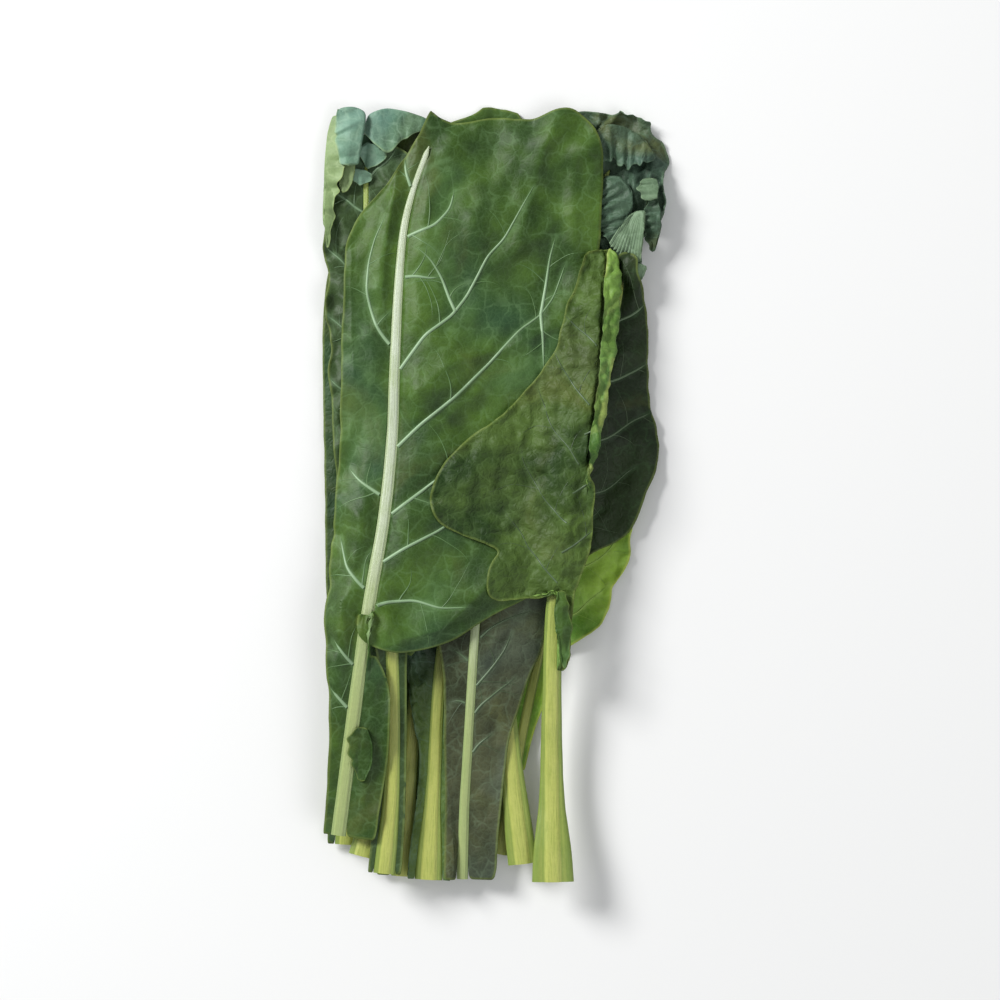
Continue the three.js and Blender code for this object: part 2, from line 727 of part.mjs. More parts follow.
      liftClear(points, over, own.widened(), CLEARANCE);
    }
    triangles.push(...over);
    return this.thicken(points, triangles, rows, fold);
  }

  // Gives the sheet its thickness: the same triangles above and below, and a wall round the outside.
  thicken(points, triangles, rows, fold) {
    const normals = points.map(() => new THREE.Vector3());
    for (const [a, b, c] of triangles) {
      const ab = points[b].clone().sub(points[a]);
      const ac = points[c].clone().sub(points[a]);
      const normal = ab.cross(ac);
      [a, b, c].forEach((k) => normals[k].add(normal));
    }
    const upper = points.map((p, k) => {
      const rise = clamp(1 / Math.max(normals[k].normalize().z, 0.1), 1, 2.2);
      return new THREE.Vector3(p.x, p.y, p.z + BLADE_THICKNESS * rise);
    });
    const lower = points.map((p) => new THREE.Vector3(p.x, p.y, p.z));
    if (fold) {
      this.foldMargin(points, rows, fold, upper, lower);
    }
    const count = points.length;
    const faces = triangles.flatMap(([a, b, c]) => [[a, b, c], [a + count, c + count, b + count]]);
    for (const [a, b] of outerEdges(triangles)) {
      faces.push([a, a + count, b + count], [a, b + count, b]);
    }
    return { points: [...upper, ...lower], triangles: faces, lower, sheet: triangles };
  }

  // Turns the right margin over on to the blade, round a bend that runs along the rows.
  foldMargin(points, rows, fold, upper, lower) {
    for (const row of rows) {
      const most = Math.PI * smoothstep(row.distance, fold.from, fold.full);
      const width = points[row.right.at(-1)].across;
      const start = fold.offset * width;
      if (most <= 0) {
        continue;
      }
      const flat = row.right.map((k) => points[k].z);
      const lie = (s) => {
        const c = clamp((s / width) * (flat.length - 1), 0, flat.length - 1.001);
        return lerp(flat[Math.floor(c)], flat[Math.floor(c) + 1], c - Math.floor(c));
      };
      for (const k of row.right) {
        const past = points[k].across - start;
        if (past <= 0) {
          continue;
        }
        const turn = Math.min(past / fold.radius, most);
        const straight = past - turn * fold.radius;
        const s = start + fold.radius * Math.sin(turn) + straight * Math.cos(turn);
        const up = fold.radius * (1 - Math.cos(turn)) + straight * Math.sin(turn);
        const shift = s - points[k].across;
        const x = points[k].x + points[k].out.x * shift;
        const y = points[k].y + points[k].out.y * shift;
        const z = lie(clamp(s, 0, start)) + up + (points[k].z - lie(points[k].across)) ;
        const inward = -Math.sin(turn) * BLADE_THICKNESS;
        lower[k].set(x, y, z);
        upper[k].set(
          x + points[k].out.x * inward,
          y + points[k].out.y * inward,
          z + Math.cos(turn) * BLADE_THICKNESS,
        );
      }
    }
  }
}

const group = new THREE.Group();
group.name = "kale_bunch";
const STALK_COLORS = [
  "#a9b463", "#b4bb72", "#a3ad66", "#b2b95c", "#adb681",
  "#9fb04c", "#b9b87c", "#b0b79c", "#c5cdb4", "#aebb58",
];
const BLADE_COLORS = [
  "#42663a", "#3b5a48", "#3d5a33", "#46693d", "#6f9a80",
  "#6a8f35", "#4a5a36", "#4f5f4c", "#446a42", "#3f6138",
];
const ground = new HeightMap();
LEAVES.forEach((spec, k) => {
  const leaf = new Leaf(spec, ground);
  leaf.layStalk();
  const stalk = leaf.stalkMesh();
  const blade = leaf.bladeMesh(stalk);
  ground.raise(stalk.points, stalk.triangles);
  ground.raise(blade.points, blade.triangles);
  group.add(closedMesh(`${spec.name}_stalk`, stalk.points, stalk.triangles, STALK_COLORS[k], 0.5));
  group.add(closedMesh(`${spec.name}_blade`, blade.points, blade.triangles, BLADE_COLORS[k], 0.6));
});
for (const mesh of group.children) {
  mesh.geometry.translate(-MIDDLE.x, -MIDDLE.y, 0);
}

export default group;
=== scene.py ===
"""Looks of a bunch of cut kale leaves that lies flat, seen straight from above."""

import logging
import math
from dataclasses import dataclass, field
from enum import Enum
from typing import Any, Sequence

import bmesh
import bpy
import numpy as np
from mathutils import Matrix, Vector, noise
from mathutils.bvhtree import BVHTree
from mathutils.kdtree import KDTree


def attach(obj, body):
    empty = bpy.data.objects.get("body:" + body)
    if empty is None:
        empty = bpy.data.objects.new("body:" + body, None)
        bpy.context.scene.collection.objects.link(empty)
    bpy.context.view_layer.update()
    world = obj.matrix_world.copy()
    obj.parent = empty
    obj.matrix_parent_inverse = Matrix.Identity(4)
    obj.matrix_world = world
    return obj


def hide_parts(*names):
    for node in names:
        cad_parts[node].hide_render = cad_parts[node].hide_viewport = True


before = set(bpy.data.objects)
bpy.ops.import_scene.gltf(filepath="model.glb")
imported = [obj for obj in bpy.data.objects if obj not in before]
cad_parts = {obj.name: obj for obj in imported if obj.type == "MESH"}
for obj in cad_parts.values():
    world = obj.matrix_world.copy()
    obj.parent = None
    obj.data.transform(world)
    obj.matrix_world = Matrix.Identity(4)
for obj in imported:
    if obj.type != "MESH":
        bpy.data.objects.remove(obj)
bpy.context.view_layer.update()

LOG = logging.getLogger("kale")
MM = 0.001
MIDDLE = np.array([-1.8, 4.4])  # middle of the bunch's outline in the plan that the leaf paths are given in
PICTURE_MIDDLE = 500.0  # pixels, across and down
PIXEL = np.array([0.5, -0.5])  # step in the plan for a pixel to the right and a pixel down
BLADE_THICKNESS = 0.7  # millimetres, as are all sizes without another unit
WELD_GAP = 2e-6  # metres
CLEARANCE = 0.15  # between a blade and what it lies on
FAR = 1000.0  # further than any place on the bunch
BATCH = 4000  # places that are worked on at once
BROAD_VEIN = 0.42  # half the width of a side vein from which it lies in a valley of the blade
NOISE_SEED = 7
Rgb = tuple[float, float, float]
Points = Sequence[tuple[float, float]]


def srgb(red: int, green: int, blue: int) -> Rgb:
    """Gives the linear colour of a colour as seen on a screen.

    Args:
        red: Red, 0 to 255.
        green: Green, 0 to 255.
        blue: Blue, 0 to 255.

    Returns:
        The same colour in linear light.
    """
    return tuple((c / 255 / 12.92) if c < 11 else ((c / 255 + 0.055) / 1.055) ** 2.4 for c in (red, green, blue))


# ---------------------------------------------------------------- node trees


@dataclass(frozen=True)
class Sock:
    """A number that a node tree works out, written as a Python value."""

    tree: bpy.types.NodeTree
    socket: bpy.types.NodeSocket

    def math(self, operation: str, *values: "Sock | float") -> "Sock":
        """Adds a Math node.

        Args:
            operation: The node's operation.
            values: Its inputs in order.

        Returns:
            The node's result.
        """
        node = self.tree.nodes.new("ShaderNodeMath")
        node.operation = operation
        for place, value in zip(node.inputs, values):
            if isinstance(value, Sock):
                self.tree.links.new(value.socket, place)
            else:
                place.default_value = value
        return Sock(self.tree, node.outputs[0])

    def __add__(self, other: "Sock | float") -> "Sock":
        """Adds."""
        return self.math("ADD", self, other)

    __radd__ = __add__

    def __sub__(self, other: "Sock | float") -> "Sock":
        """Takes the other away."""
        return self.math("SUBTRACT", self, other)

    def __rsub__(self, other: float) -> "Sock":
        """Is taken away from a number."""
        return self.math("SUBTRACT", other, self)

    def __mul__(self, other: "Sock | float") -> "Sock":
        """Multiplies."""
        return self.math("MULTIPLY", self, other)

    __rmul__ = __mul__

    def __truediv__(self, other: "Sock | float") -> "Sock":
        """Divides by the other."""
        return self.math("DIVIDE", self, other)

    def __pow__(self, other: float) -> "Sock":
        """Raises to a power."""
        return self.math("POWER", self, other)

    def __abs__(self) -> "Sock":
        """Drops the sign."""
        return self.math("ABSOLUTE", self)

    def sin(self) -> "Sock":
        """Sine."""
        return self.math("SINE", self)

    def cos(self) -> "Sock":
        """Cosine."""
        return self.math("COSINE", self)

    def above(self, other: float) -> "Sock":
        """Is 1 where this is more than the other, and 0 elsewhere."""
        return self.math("GREATER_THAN", self, other)

    def step(self, low: float, high: float) -> "Sock":
        """Rises smoothly from 0 at low to 1 at high, or falls where high is below low.

        Args:
            low: Value that gives 0.
            high: Value that gives 1.

        Returns:
            The eased value, from 0 to 1.
        """
        node = self.tree.nodes.new("ShaderNodeMapRange")
        node.interpolation_type = "SMOOTHSTEP"
        self.tree.links.new(self.socket, node.inputs["Value"])
        low, high, flip = (low, high, False) if low < high else (high, low, True)
        node.inputs["From Min"].default_value = low
        node.inputs["From Max"].default_value = high
        node.inputs["To Min"].default_value = 1.0 if flip else 0.0
        node.inputs["To Max"].default_value = 0.0 if flip else 1.0
        return Sock(self.tree, node.outputs["Result"])


@dataclass(frozen=True)
class Nodes:
    """Adds nodes to one tree."""

    tree: bpy.types.NodeTree

    def add(self, kind: str, settings: dict[str, Any] | None = None, inputs: dict[Any, Any] | None = None,
            output: Any = 0) -> Sock:
        """Adds a node, sets it up and wires it.

        Args:
            kind: Blender's name of the node's type.
            settings: The node's own settings, which are set first.
            inputs: Values or links, by socket name or place.
            output: Name or place of the output that is wanted.

        Returns:
            That output.
        """
        node = self.tree.nodes.new(kind)
        for name, value in (settings or {}).items():
            setattr(node, name, value)
        self.feed(node, inputs or {})
        return Sock(self.tree, node.outputs[output])

    def feed(self, node: bpy.types.Node, inputs: dict[Any, Any]) -> None:
        """Wires or sets a node's inputs.

        Args:
            node: The node.
            inputs: Values, links or lists of links, by socket name or place.
        """
        for place, value in inputs.items():
            for one in value if isinstance(value, list) else [value]:
                if isinstance(one, Sock):
                    self.tree.links.new(one.socket, node.inputs[place])
                else:
                    node.inputs[place].default_value = one

    def mix(self, amount: Sock | float, first: Any, second: Any) -> Sock:
        """Mixes two colours.

        Args:
            amount: Share of the second.
            first: A colour or a link.
            second: A colour or a link.

        Returns:
            The mixed colour.
        """
        colours = [c if isinstance(c, Sock) else (*c, 1.0) for c in (first, second)]
        return self.add("ShaderNodeMix", {"data_type": "RGBA"}, {0: amount, 6: colours[0], 7: colours[1]}, 2)

    def scaled(self, vector: Sock, factor: Sock | float) -> Sock:
        """Multiplies a colour or a vector by a number."""
        return self.add("ShaderNodeVectorMath", {"operation": "SCALE"}, {0: vector, "Scale": factor})

    def moved(self, place: Sock, shift: Sock) -> Sock:
        """Adds two vectors."""
        return self.add("ShaderNodeVectorMath", {"operation": "ADD"}, {0: place, 1: shift})

    def noise(self, place: Sock, scale: float, detail: float, output: Any = 0, **more: float) -> Sock:
        """Adds a Noise Texture node to a material.

        Args:
            place: Where it is read.
            scale: Its scale.
            detail: Its detail.
            output: The output that is wanted.
            more: Other inputs by name.

        Returns:
            The noise.
        """
        return self.add("ShaderNodeTexNoise", None, {"Vector": place, "Scale": scale, "Detail": detail, **more}, output)

    def fact(self, name: str) -> Sock:
        """Reads a number that a mesh carries, in a material."""
        return self.add("ShaderNodeAttribute", {"attribute_name": name}, output="Fac")

    def bump(self, strength: float, distance: float, height: Sock) -> Sock:
        """Adds a Bump node.

        Args:
            strength: How strong it is.
            distance: How high it is, in metres.
            height: The height over the surface, from 0 to 1.

        Returns:
            The bent normal.
        """
        facts = {"Strength": strength, "Distance": distance, "Height": height}
        return self.add("ShaderNodeBump", None, facts, "Normal")

    def named(self, name: str, vector: bool = False) -> Sock:
        """Reads an attribute in a geometry tree.

        Args:
            name: The attribute's name.
            vector: Whether it is a vector and not a number.

        Returns:
            The attribute's value.
        """
        kind = {"data_type": "FLOAT_VECTOR" if vector else "FLOAT"}
        return self.add("GeometryNodeInputNamedAttribute", kind, {"Name": name})


def geometry_tree(name: str, **inputs: str) -> tuple[Nodes, Sock, dict[str, Sock]]:
    """Starts a geometry tree.

    Args:
        name: The tree's name.
        inputs: Socket type of each named input.

    Returns:
        The node adder, the incoming geometry and the inputs by name.
    """
    tree = bpy.data.node_groups.new(name, "GeometryNodeTree")
    tree.interface.new_socket("Geometry", in_out="INPUT", socket_type="NodeSocketGeometry")
    for key, kind in inputs.items():
        tree.interface.new_socket(key, in_out="INPUT", socket_type=kind)
    tree.interface.new_socket("Geometry", in_out="OUTPUT", socket_type="NodeSocketGeometry")
    entry = tree.nodes.new("NodeGroupInput")
    given = {key: Sock(tree, entry.outputs[key]) for key in inputs}
    return Nodes(tree), Sock(tree, entry.outputs["Geometry"]), given


def close_tree(nodes: Nodes, geometry: Sock, *coats: tuple[Sock, Sock | bool]) -> bpy.types.NodeTree:
    """Ends a geometry tree.

    Args:
        nodes: The tree's node adder.
        geometry: The finished geometry.
        coats: Materials, each with the faces that it goes on.

    Returns:
        The tree.
    """
    dressed = nodes.add("GeometryNodeRealizeInstances", None, {"Geometry": geometry})
    for material, faces in coats:
        dressed = nodes.add(
            "GeometryNodeSetMaterial", None, {"Geometry": dressed, "Selection": faces, "Material": material})
    leave = nodes.tree.nodes.new("NodeGroupOutput")
    nodes.tree.links.new(dressed.socket, leave.inputs[0])
    return nodes.tree


def grown(mesh: bpy.types.Mesh, tree: bpy.types.NodeTree, **values: Any) -> bpy.types.Mesh:
    """Runs a geometry tree on a mesh.

    Args:
        mesh: The mesh to start from.
        tree: The geometry tree.
        values: Its inputs by name.

    Returns:
        A new plain mesh.
    """
    carrier = bpy.data.objects.new("carrier", mesh)
    bpy.context.scene.collection.objects.link(carrier)
    modifier = carrier.modifiers.new("grow", "NODES")
    modifier.node_group = tree
    for item in tree.interface.items_tree:
        if item.in_out == "INPUT" and item.name in values:
            modifier[item.identifier] = values[item.name]
    bpy.context.view_layer.update()
    depsgraph = bpy.context.evaluated_depsgraph_get()
    result = bpy.data.meshes.new_from_object(carrier.evaluated_get(depsgraph), depsgraph=depsgraph)
    carrier.modifiers.clear()
    bpy.data.objects.remove(carrier)
    return result


def unit_ring(nodes: Nodes, sides: Sock) -> Sock:
    """Adds a ring of radius 1 to sweep along a line.

    Args:
        nodes: The tree's node adder.
        sides: How many sides it has.

    Returns:
        The ring.
    """
    return nodes.add("GeometryNodeCurvePrimitiveCircle", {"mode": "RADIUS"}, {"Resolution": sides, "Radius": 1.0})


def refining_tree() -> bpy.types.NodeTree:
    """Builds the tree that makes a faceted sheet fine and smooth.

    Returns:
        The tree.
    """
    nodes, geometry, given = geometry_tree("Refine sheet", Level="NodeSocketInt", Upper="NodeSocketMaterial")
    fine = nodes.add(
        "GeometryNodeSubdivisionSurface", {"boundary_smooth": "ALL"}, {0: geometry, "Level": given["Level"]})
    return close_tree(nodes, fine, (given["Upper"], True))


def thickening_tree() -> bpy.types.NodeTree:
    """Builds the tree that gives a sheet an underside and an edge.

    Returns:
        The tree.
    """
    nodes, geometry, given = geometry_tree(
        "Thicken sheet", Thickness="NodeSocketFloat", Upper="NodeSocketMaterial", Under="NodeSocketMaterial")
    normal = nodes.add("GeometryNodeInputNormal")
    depth = given["Thickness"] * (0.5 + nodes.named("margin").step(0.0, 5.0) * 0.5)
    down = nodes.scaled(normal, depth * -1.0)
    low = nodes.add("GeometryNodeSetPosition", None, {"Geometry": geometry, "Offset": down})
    upper = nodes.add(
        "GeometryNodeExtrudeMesh", {"mode": "FACES"},
        {"Mesh": low, "Offset Scale": depth, "Individual": False})
    upper = nodes.add(
        "GeometryNodeStoreNamedAttribute", {"data_type": "FLOAT", "domain": "FACE"},
        {"Geometry": upper, "Name": "upper_side", "Value": 1.0})
    under = nodes.add("GeometryNodeFlipFaces", None, {0: low})
    both = nodes.add("GeometryNodeJoinGeometry", None, {0: [under, upper]})
    whole = nodes.add("GeometryNodeMergeByDistance", None, {"Geometry": both, "Distance": WELD_GAP})
    return close_tree(nodes, whole, (given["Under"], True), (given["Upper"], nodes.named("upper_side").above(0.5)))


def stalk_tree() -> bpy.types.NodeTree:
    """Builds the tree that sweeps a stalk's section along its line.

    Returns:
        The tree.
    """
    nodes, geometry, given = geometry_tree(
        "Sweep stalk", Sides="NodeSocketInt", Ribs="NodeSocketInt", Skin="NodeSocketMaterial",
        Cut="NodeSocketMaterial")
    line = nodes.add("GeometryNodeMeshToCurve", None, {0: geometry})
    ring = unit_ring(nodes, given["Sides"])
    index = nodes.add("GeometryNodeInputIndex")
    ring = nodes.add(
        "GeometryNodeStoreNamedAttribute", {"data_type": "FLOAT", "domain": "POINT"},
        {"Geometry": ring, "Name": "turn", "Value": index * (2 * math.pi) / given["Sides"]})
    tube = nodes.add("GeometryNodeCurveToMesh", None, {"Curve": line, "Profile Curve": ring, "Fill Caps": True})
    turn = nodes.named("turn")
    half, wing, depth = nodes.named("half"), nodes.named("wing"), nodes.named("depth")
    side = turn.cos()
    up = turn.sin()
    ridge = 1.0 + (turn * given["Ribs"]).sin() * 0.01
    groove = up.step(0.0, 0.3) * abs(abs(side) - 0.74).step(0.18, 0.0) * 0.08
    across = (half + wing * (abs(side) ** 5.0)) * side * ridge
    rise = depth * (0.68 + up * 0.5 - up * up * 0.18 - groove) * ridge
    away = nodes.scaled(nodes.named("right", True), across)
    away = nodes.moved(away, nodes.add("ShaderNodeCombineXYZ", None, {"Z": rise}))
    place = nodes.moved(nodes.named("centre", True), away)
    shaped = nodes.add("GeometryNodeSetPosition", None, {"Geometry": tube, "Position": place})
    corners = nodes.add("GeometryNodeCornersOfFace", output="Total")
    return close_tree(nodes, shaped, (given["Skin"], True), (given["Cut"], corners.above(4.5)))


def vein_tree() -> bpy.types.NodeTree:
    """Builds the tree that sweeps a tapering vein along each line.

    Returns:
        The tree.
    """
    nodes, geometry, given = geometry_tree("Sweep veins", Sides="NodeSocketInt", Material="NodeSocketMaterial")
    lines = nodes.add("GeometryNodeMeshToCurve", None, {0: geometry})
    tubes = nodes.add(
        "GeometryNodeCurveToMesh", None,
        {"Curve": lines, "Profile Curve": unit_ring(nodes, given["Sides"]), "Scale": nodes.named("vein_radius"),
         "Fill Caps": True})
    return close_tree(nodes, tubes, (given["Material"], True))


# ------------------------------------------------------------------ finishes


def new_material(name: str) -> tuple[bpy.types.Material, Nodes, bpy.types.Node]:
    """Starts a material.

    Args:
        name: The material's name.

    Returns:
        The material, its node adder and its main shader.
    """
    material = bpy.data.materials.new(name)
    material.use_nodes = True
    return material, Nodes(material.node_tree), material.node_tree.nodes["Principled BSDF"]


PETIOLE_EDGE = srgb(84, 108, 50)


@dataclass(frozen=True)
class LeafFinish:
    """Skin of one side of a blade: waxy green, bluish bloom with painted sheen, a faint net of paler veins."""

    name: str
    green: Rgb
    light: Rgb
    vein: Rgb
    # bluish waxy bloom of the leaf, also used as painted sheen for bluish reflections
    bloom_and_sheen: Rgb
    margin: Rgb
    tan: Rgb = srgb(92, 96, 44)
    haze: float = 0.3
    foot: float = 0.0
    foot_colour: Rgb = PETIOLE_EDGE
    foot_from: float = 120.0
    foot_to: float = 60.0
    net: float = 0.16
    relief: float = 0.22
    roughness: float = 0.54
    gloss: float = 0.26

    def material(self) -> bpy.types.Material:
        """Builds the material.

        Returns:
            A new material.
        """
        material, nodes, shader = new_material(self.name)
        place = nodes.add("ShaderNodeTexCoord", output="Object")
        edge, gap, along = (nodes.fact(name) for name in ("margin", "vein_gap", "along"))
        broad = nodes.noise(place, 24.0, 3.0)
        cloud = nodes.noise(place, 13.0, 2.0, Distortion=0.6)
        warm = nodes.noise(place, 17.0, 4.0, Distortion=1.2)
        patch = nodes.noise(place, 95.0, 3.0)
        fine = nodes.noise(place, 520.0, 4.0)
        shift = nodes.scaled(nodes.noise(place, 160.0, 2.0, "Color"), 0.005)
        bent = nodes.moved(place, shift)
        cells, small = (
            nodes.add("ShaderNodeTexVoronoi", {"feature": "DISTANCE_TO_EDGE"}, {"Vector": bent, "Scale": scale})
            for scale in (105.0, 360.0))
        colour = nodes.mix(broad.step(0.34, 0.66), self.green, self.light)
        # patches of the bloom colour: the leaf's own waxy bloom, partly painted sheen in place of bluish reflections
        colour = nodes.mix(cloud.step(0.46, 0.68) * self.haze, colour, self.bloom_and_sheen)
        colour = nodes.mix(warm.step(0.52, 0.7) * self.haze, colour, self.tan)
        foot = (along + broad * 36.0 - 18.0).step(self.foot_from, self.foot_to)
        colour = nodes.mix(foot * self.foot, colour, self.foot_colour)
        colour = nodes.scaled(colour, (0.84 + fine * 0.32) * (0.74 + patch * 0.52))
        web = cells.step(0.075, 0.012) * self.net * patch.step(0.3, 0.62)
        mesh = small.step(0.10, 0.02) * self.net * 0.4
        halo = gap.step(2.2, 0.4) * 0.22
        colour = nodes.mix(1.0 - (1.0 - halo) * (1.0 - web) * (1.0 - mesh), colour, self.vein)
        colour = nodes.mix(edge.step(1.5, 0.3) * 0.5, colour, self.margin)
        rough = self.roughness - 0.07 + patch * 0.14
        height = cells.step(0.0, 0.35) * 0.6 + small.step(0.0, 0.3) * 0.2 + fine * 0.1 + patch * 0.8
        nodes.feed(shader, {
            "Base Color": colour, "Roughness": rough, "Normal": nodes.bump(self.relief, 0.001, height),
            "Specular IOR Level": self.gloss})
        return material


@dataclass(frozen=True)
class StalkFinish:
    """Skin of a stalk: smooth and slightly glossy, with fine streaks along it."""

    name: str
    foot: Rgb
    top: Rgb
    # real green of the wings, also used as painted shade along the grooves
    side: Rgb
    streak: Rgb
    roughness: float = 0.36

    def material(self) -> bpy.types.Material:
        """Builds the material.

        Returns:
            A new material.
        """
        material, nodes, shader = new_material(self.name)
        place = nodes.add("ShaderNodeTexCoord", output="Object")
        turn, along = nodes.fact("turn"), nodes.fact("along")
        spot = nodes.add("ShaderNodeCombineXYZ", None, {"X": turn.cos(), "Y": turn.sin(), "Z": along * 0.012})
        lines = nodes.noise(spot, 7.0, 5.0, Roughness=0.7)
        broad = nodes.noise(place, 45.0, 3.0)
        fine = nodes.noise(place, 700.0, 2.0)
        colour = nodes.mix(along.step(60.0, 190.0), self.foot, self.top)
        colour = nodes.mix(lines.step(0.46, 0.64) * 0.5 + broad.step(0.45, 0.7) * 0.25, colour, self.streak)
        colour = nodes.mix(abs(turn.cos()).step(0.55, 0.97) * 0.75, colour, self.side)
        # thin darker line along each groove: painted shade
        colour = nodes.mix(abs(abs(turn.cos()) - 0.75).step(0.08, 0.01) * 0.45, colour, self.side)
        colour = nodes.scaled(colour, 0.9 + fine * 0.2)
        nodes.feed(shader, {
            "Base Color": colour, "Normal": nodes.bump(0.5, 0.0006, lines + fine * 0.2), "Roughness": self.roughness})
        return material


@dataclass(frozen=True)
class VeinFinish:
    """Skin of side veins, which fade into the blade as they get thin."""

    name: str
    thick: Rgb
    thin: Rgb
    roughness: float = 0.45

    def material(self) -> bpy.types.Material:
        """Builds the material.

        Returns:
            A new material.
        """
        material, nodes, shader = new_material(self.name)
        colour = nodes.mix(nodes.fact("vein_radius").step(0.00018, 0.0008), self.thin, self.thick)
        nodes.feed(shader, {"Base Color": colour, "Roughness": self.roughness})
        return material


@dataclass(frozen=True)
class CutFinish:
    """Moist cut end of a stalk, with the ends of its strands showing."""

    name: str
    pith: Rgb
    strand: Rgb
    roughness: float = 0.28

    def material(self) -> bpy.types.Material:
        """Builds the material.

        Returns:
            A new material.
        """
        material, nodes, shader = new_material(self.name)
        place = nodes.add("ShaderNodeTexCoord", output="Object")
        dots = nodes.add("ShaderNodeTexVoronoi", None, {"Vector": place, "Scale": 900.0}, "Distance")
        cloud = nodes.noise(place, 260.0, 3.0)
        colour = nodes.mix(dots.step(0.32, 0.12) * 0.6 + cloud.step(0.45, 0.7) * 0.35, self.pith, self.strand)
        nodes.feed(shader, {
            "Base Color": colour, "Normal": nodes.bump(0.4, 0.0004, cloud), "Roughness": self.roughness})
        return material


@dataclass(frozen=True)
class PlainFinish:
    """One even colour."""

    name: str
    colour: Rgb
    roughness: float = 0.5

    def material(self) -> bpy.types.Material:
        """Builds the material.

        Returns:
            A new material.
        """
        material, nodes, shader = new_material(self.name)
        nodes.feed(shader, {"Base Color": (*self.colour, 1.0), "Roughness": self.roughness})
        return material


class Slot(Enum):
    """Material slots."""

    PALE_STALK = "pale_stalk"
    GREEN_STALK = "green_stalk"
    GREEN_BLADE = "green_blade"
    DARK_BLADE = "dark_blade"
    BRIGHT_BLADE = "bright_blade"
    PALE_UNDERSIDE = "pale_underside"


# bluish green of the waxy bloom, partly painted sheen for bluish reflections
BLOOM_AND_SHEEN = srgb(58, 96, 74)
MARGIN = srgb(112, 128, 62)
GREEN = LeafFinish("green upper side", srgb(36, 62, 18), srgb(66, 94, 28), srgb(112, 146, 98), BLOOM_AND_SHEEN, MARGIN)
DARK = LeafFinish("dark upper side", srgb(32, 50, 22), srgb(52, 74, 34), srgb(84, 114, 82), BLOOM_AND_SHEEN, MARGIN, relief=0.5)
GREY = LeafFinish(
    "grey upper side", srgb(48, 54, 34), srgb(74, 78, 54), srgb(112, 132, 104), srgb(66, 86, 84), MARGIN, net=0.2,
    relief=0.4, gloss=0.18)
BRIGHT = LeafFinish(
    "bright upper side", srgb(78, 124, 36), srgb(146, 182, 60), srgb(170, 196, 110), srgb(112, 164, 84),
    srgb(196, 204, 98), srgb(120, 150, 50), relief=0.3)
OLIVE = LeafFinish(
    "deep green upper side", srgb(20, 34, 10), srgb(34, 50, 18), srgb(66, 98, 60), srgb(40, 58, 36), MARGIN, relief=0.5)
COARSE = LeafFinish(
    "blistered upper side", srgb(32, 54, 20), srgb(70, 92, 38), srgb(98, 124, 74), srgb(84, 92, 56), MARGIN,
    haze=0.4, relief=0.6, gloss=0.18)
BLUE = LeafFinish(
    "bluish upper side", srgb(38, 56, 38), srgb(64, 86, 66), srgb(104, 132, 112), srgb(72, 102, 104),
    srgb(92, 116, 90), haze=0.55, foot=1.0, net=0.24, relief=0.5)
FROND = LeafFinish(
    "grey-green frill", srgb(72, 96, 68), srgb(106, 130, 100), srgb(136, 160, 132), srgb(92, 120, 112),
    srgb(128, 152, 118), net=0.4)
PALE = LeafFinish(
    "pale blue-green underside", srgb(84, 120, 96), srgb(116, 150, 126), srgb(150, 180, 154), srgb(116, 150, 146),
    srgb(140, 166, 118), foot=1.0, net=0.3)
TURNED = LeafFinish(
    "green side with a pale tip", srgb(78, 114, 88), srgb(104, 138, 110), srgb(112, 142, 104), srgb(96, 130, 118),
    MARGIN, foot=1.0, foot_colour=srgb(50, 70, 34), foot_from=384.0, foot_to=350.0)
STRAW = LeafFinish(
    "yellow-green underside of a margin", srgb(104, 128, 80), srgb(132, 154, 104), srgb(164, 182, 132),
    srgb(112, 144, 116), srgb(150, 166, 100), net=0.24)
UNDER = LeafFinish(
    "green underside", srgb(84, 112, 72), srgb(112, 138, 88), srgb(150, 174, 122), srgb(104, 134, 112), MARGIN)
LIME = LeafFinish(
    "bright underside", srgb(62, 98, 36), srgb(110, 144, 62), srgb(158, 178, 100), srgb(96, 134, 78),
    srgb(160, 172, 92), relief=0.35)
SIDE_VEIN = VeinFinish("side vein", srgb(132, 160, 122), srgb(80, 112, 62))
DARK_VEIN = VeinFinish("dull side vein", srgb(98, 120, 88), srgb(64, 82, 52))
PALE_VEIN = VeinFinish("pale side vein", srgb(120, 148, 112), srgb(84, 110, 74))
LIME_VEIN = VeinFinish("yellow-green side vein", srgb(164, 190, 96), srgb(134, 170, 68))
CUT = CutFinish("cut end", srgb(190, 200, 138), srgb(150, 164, 92))


# -------------------------------------------------------------------- leaves


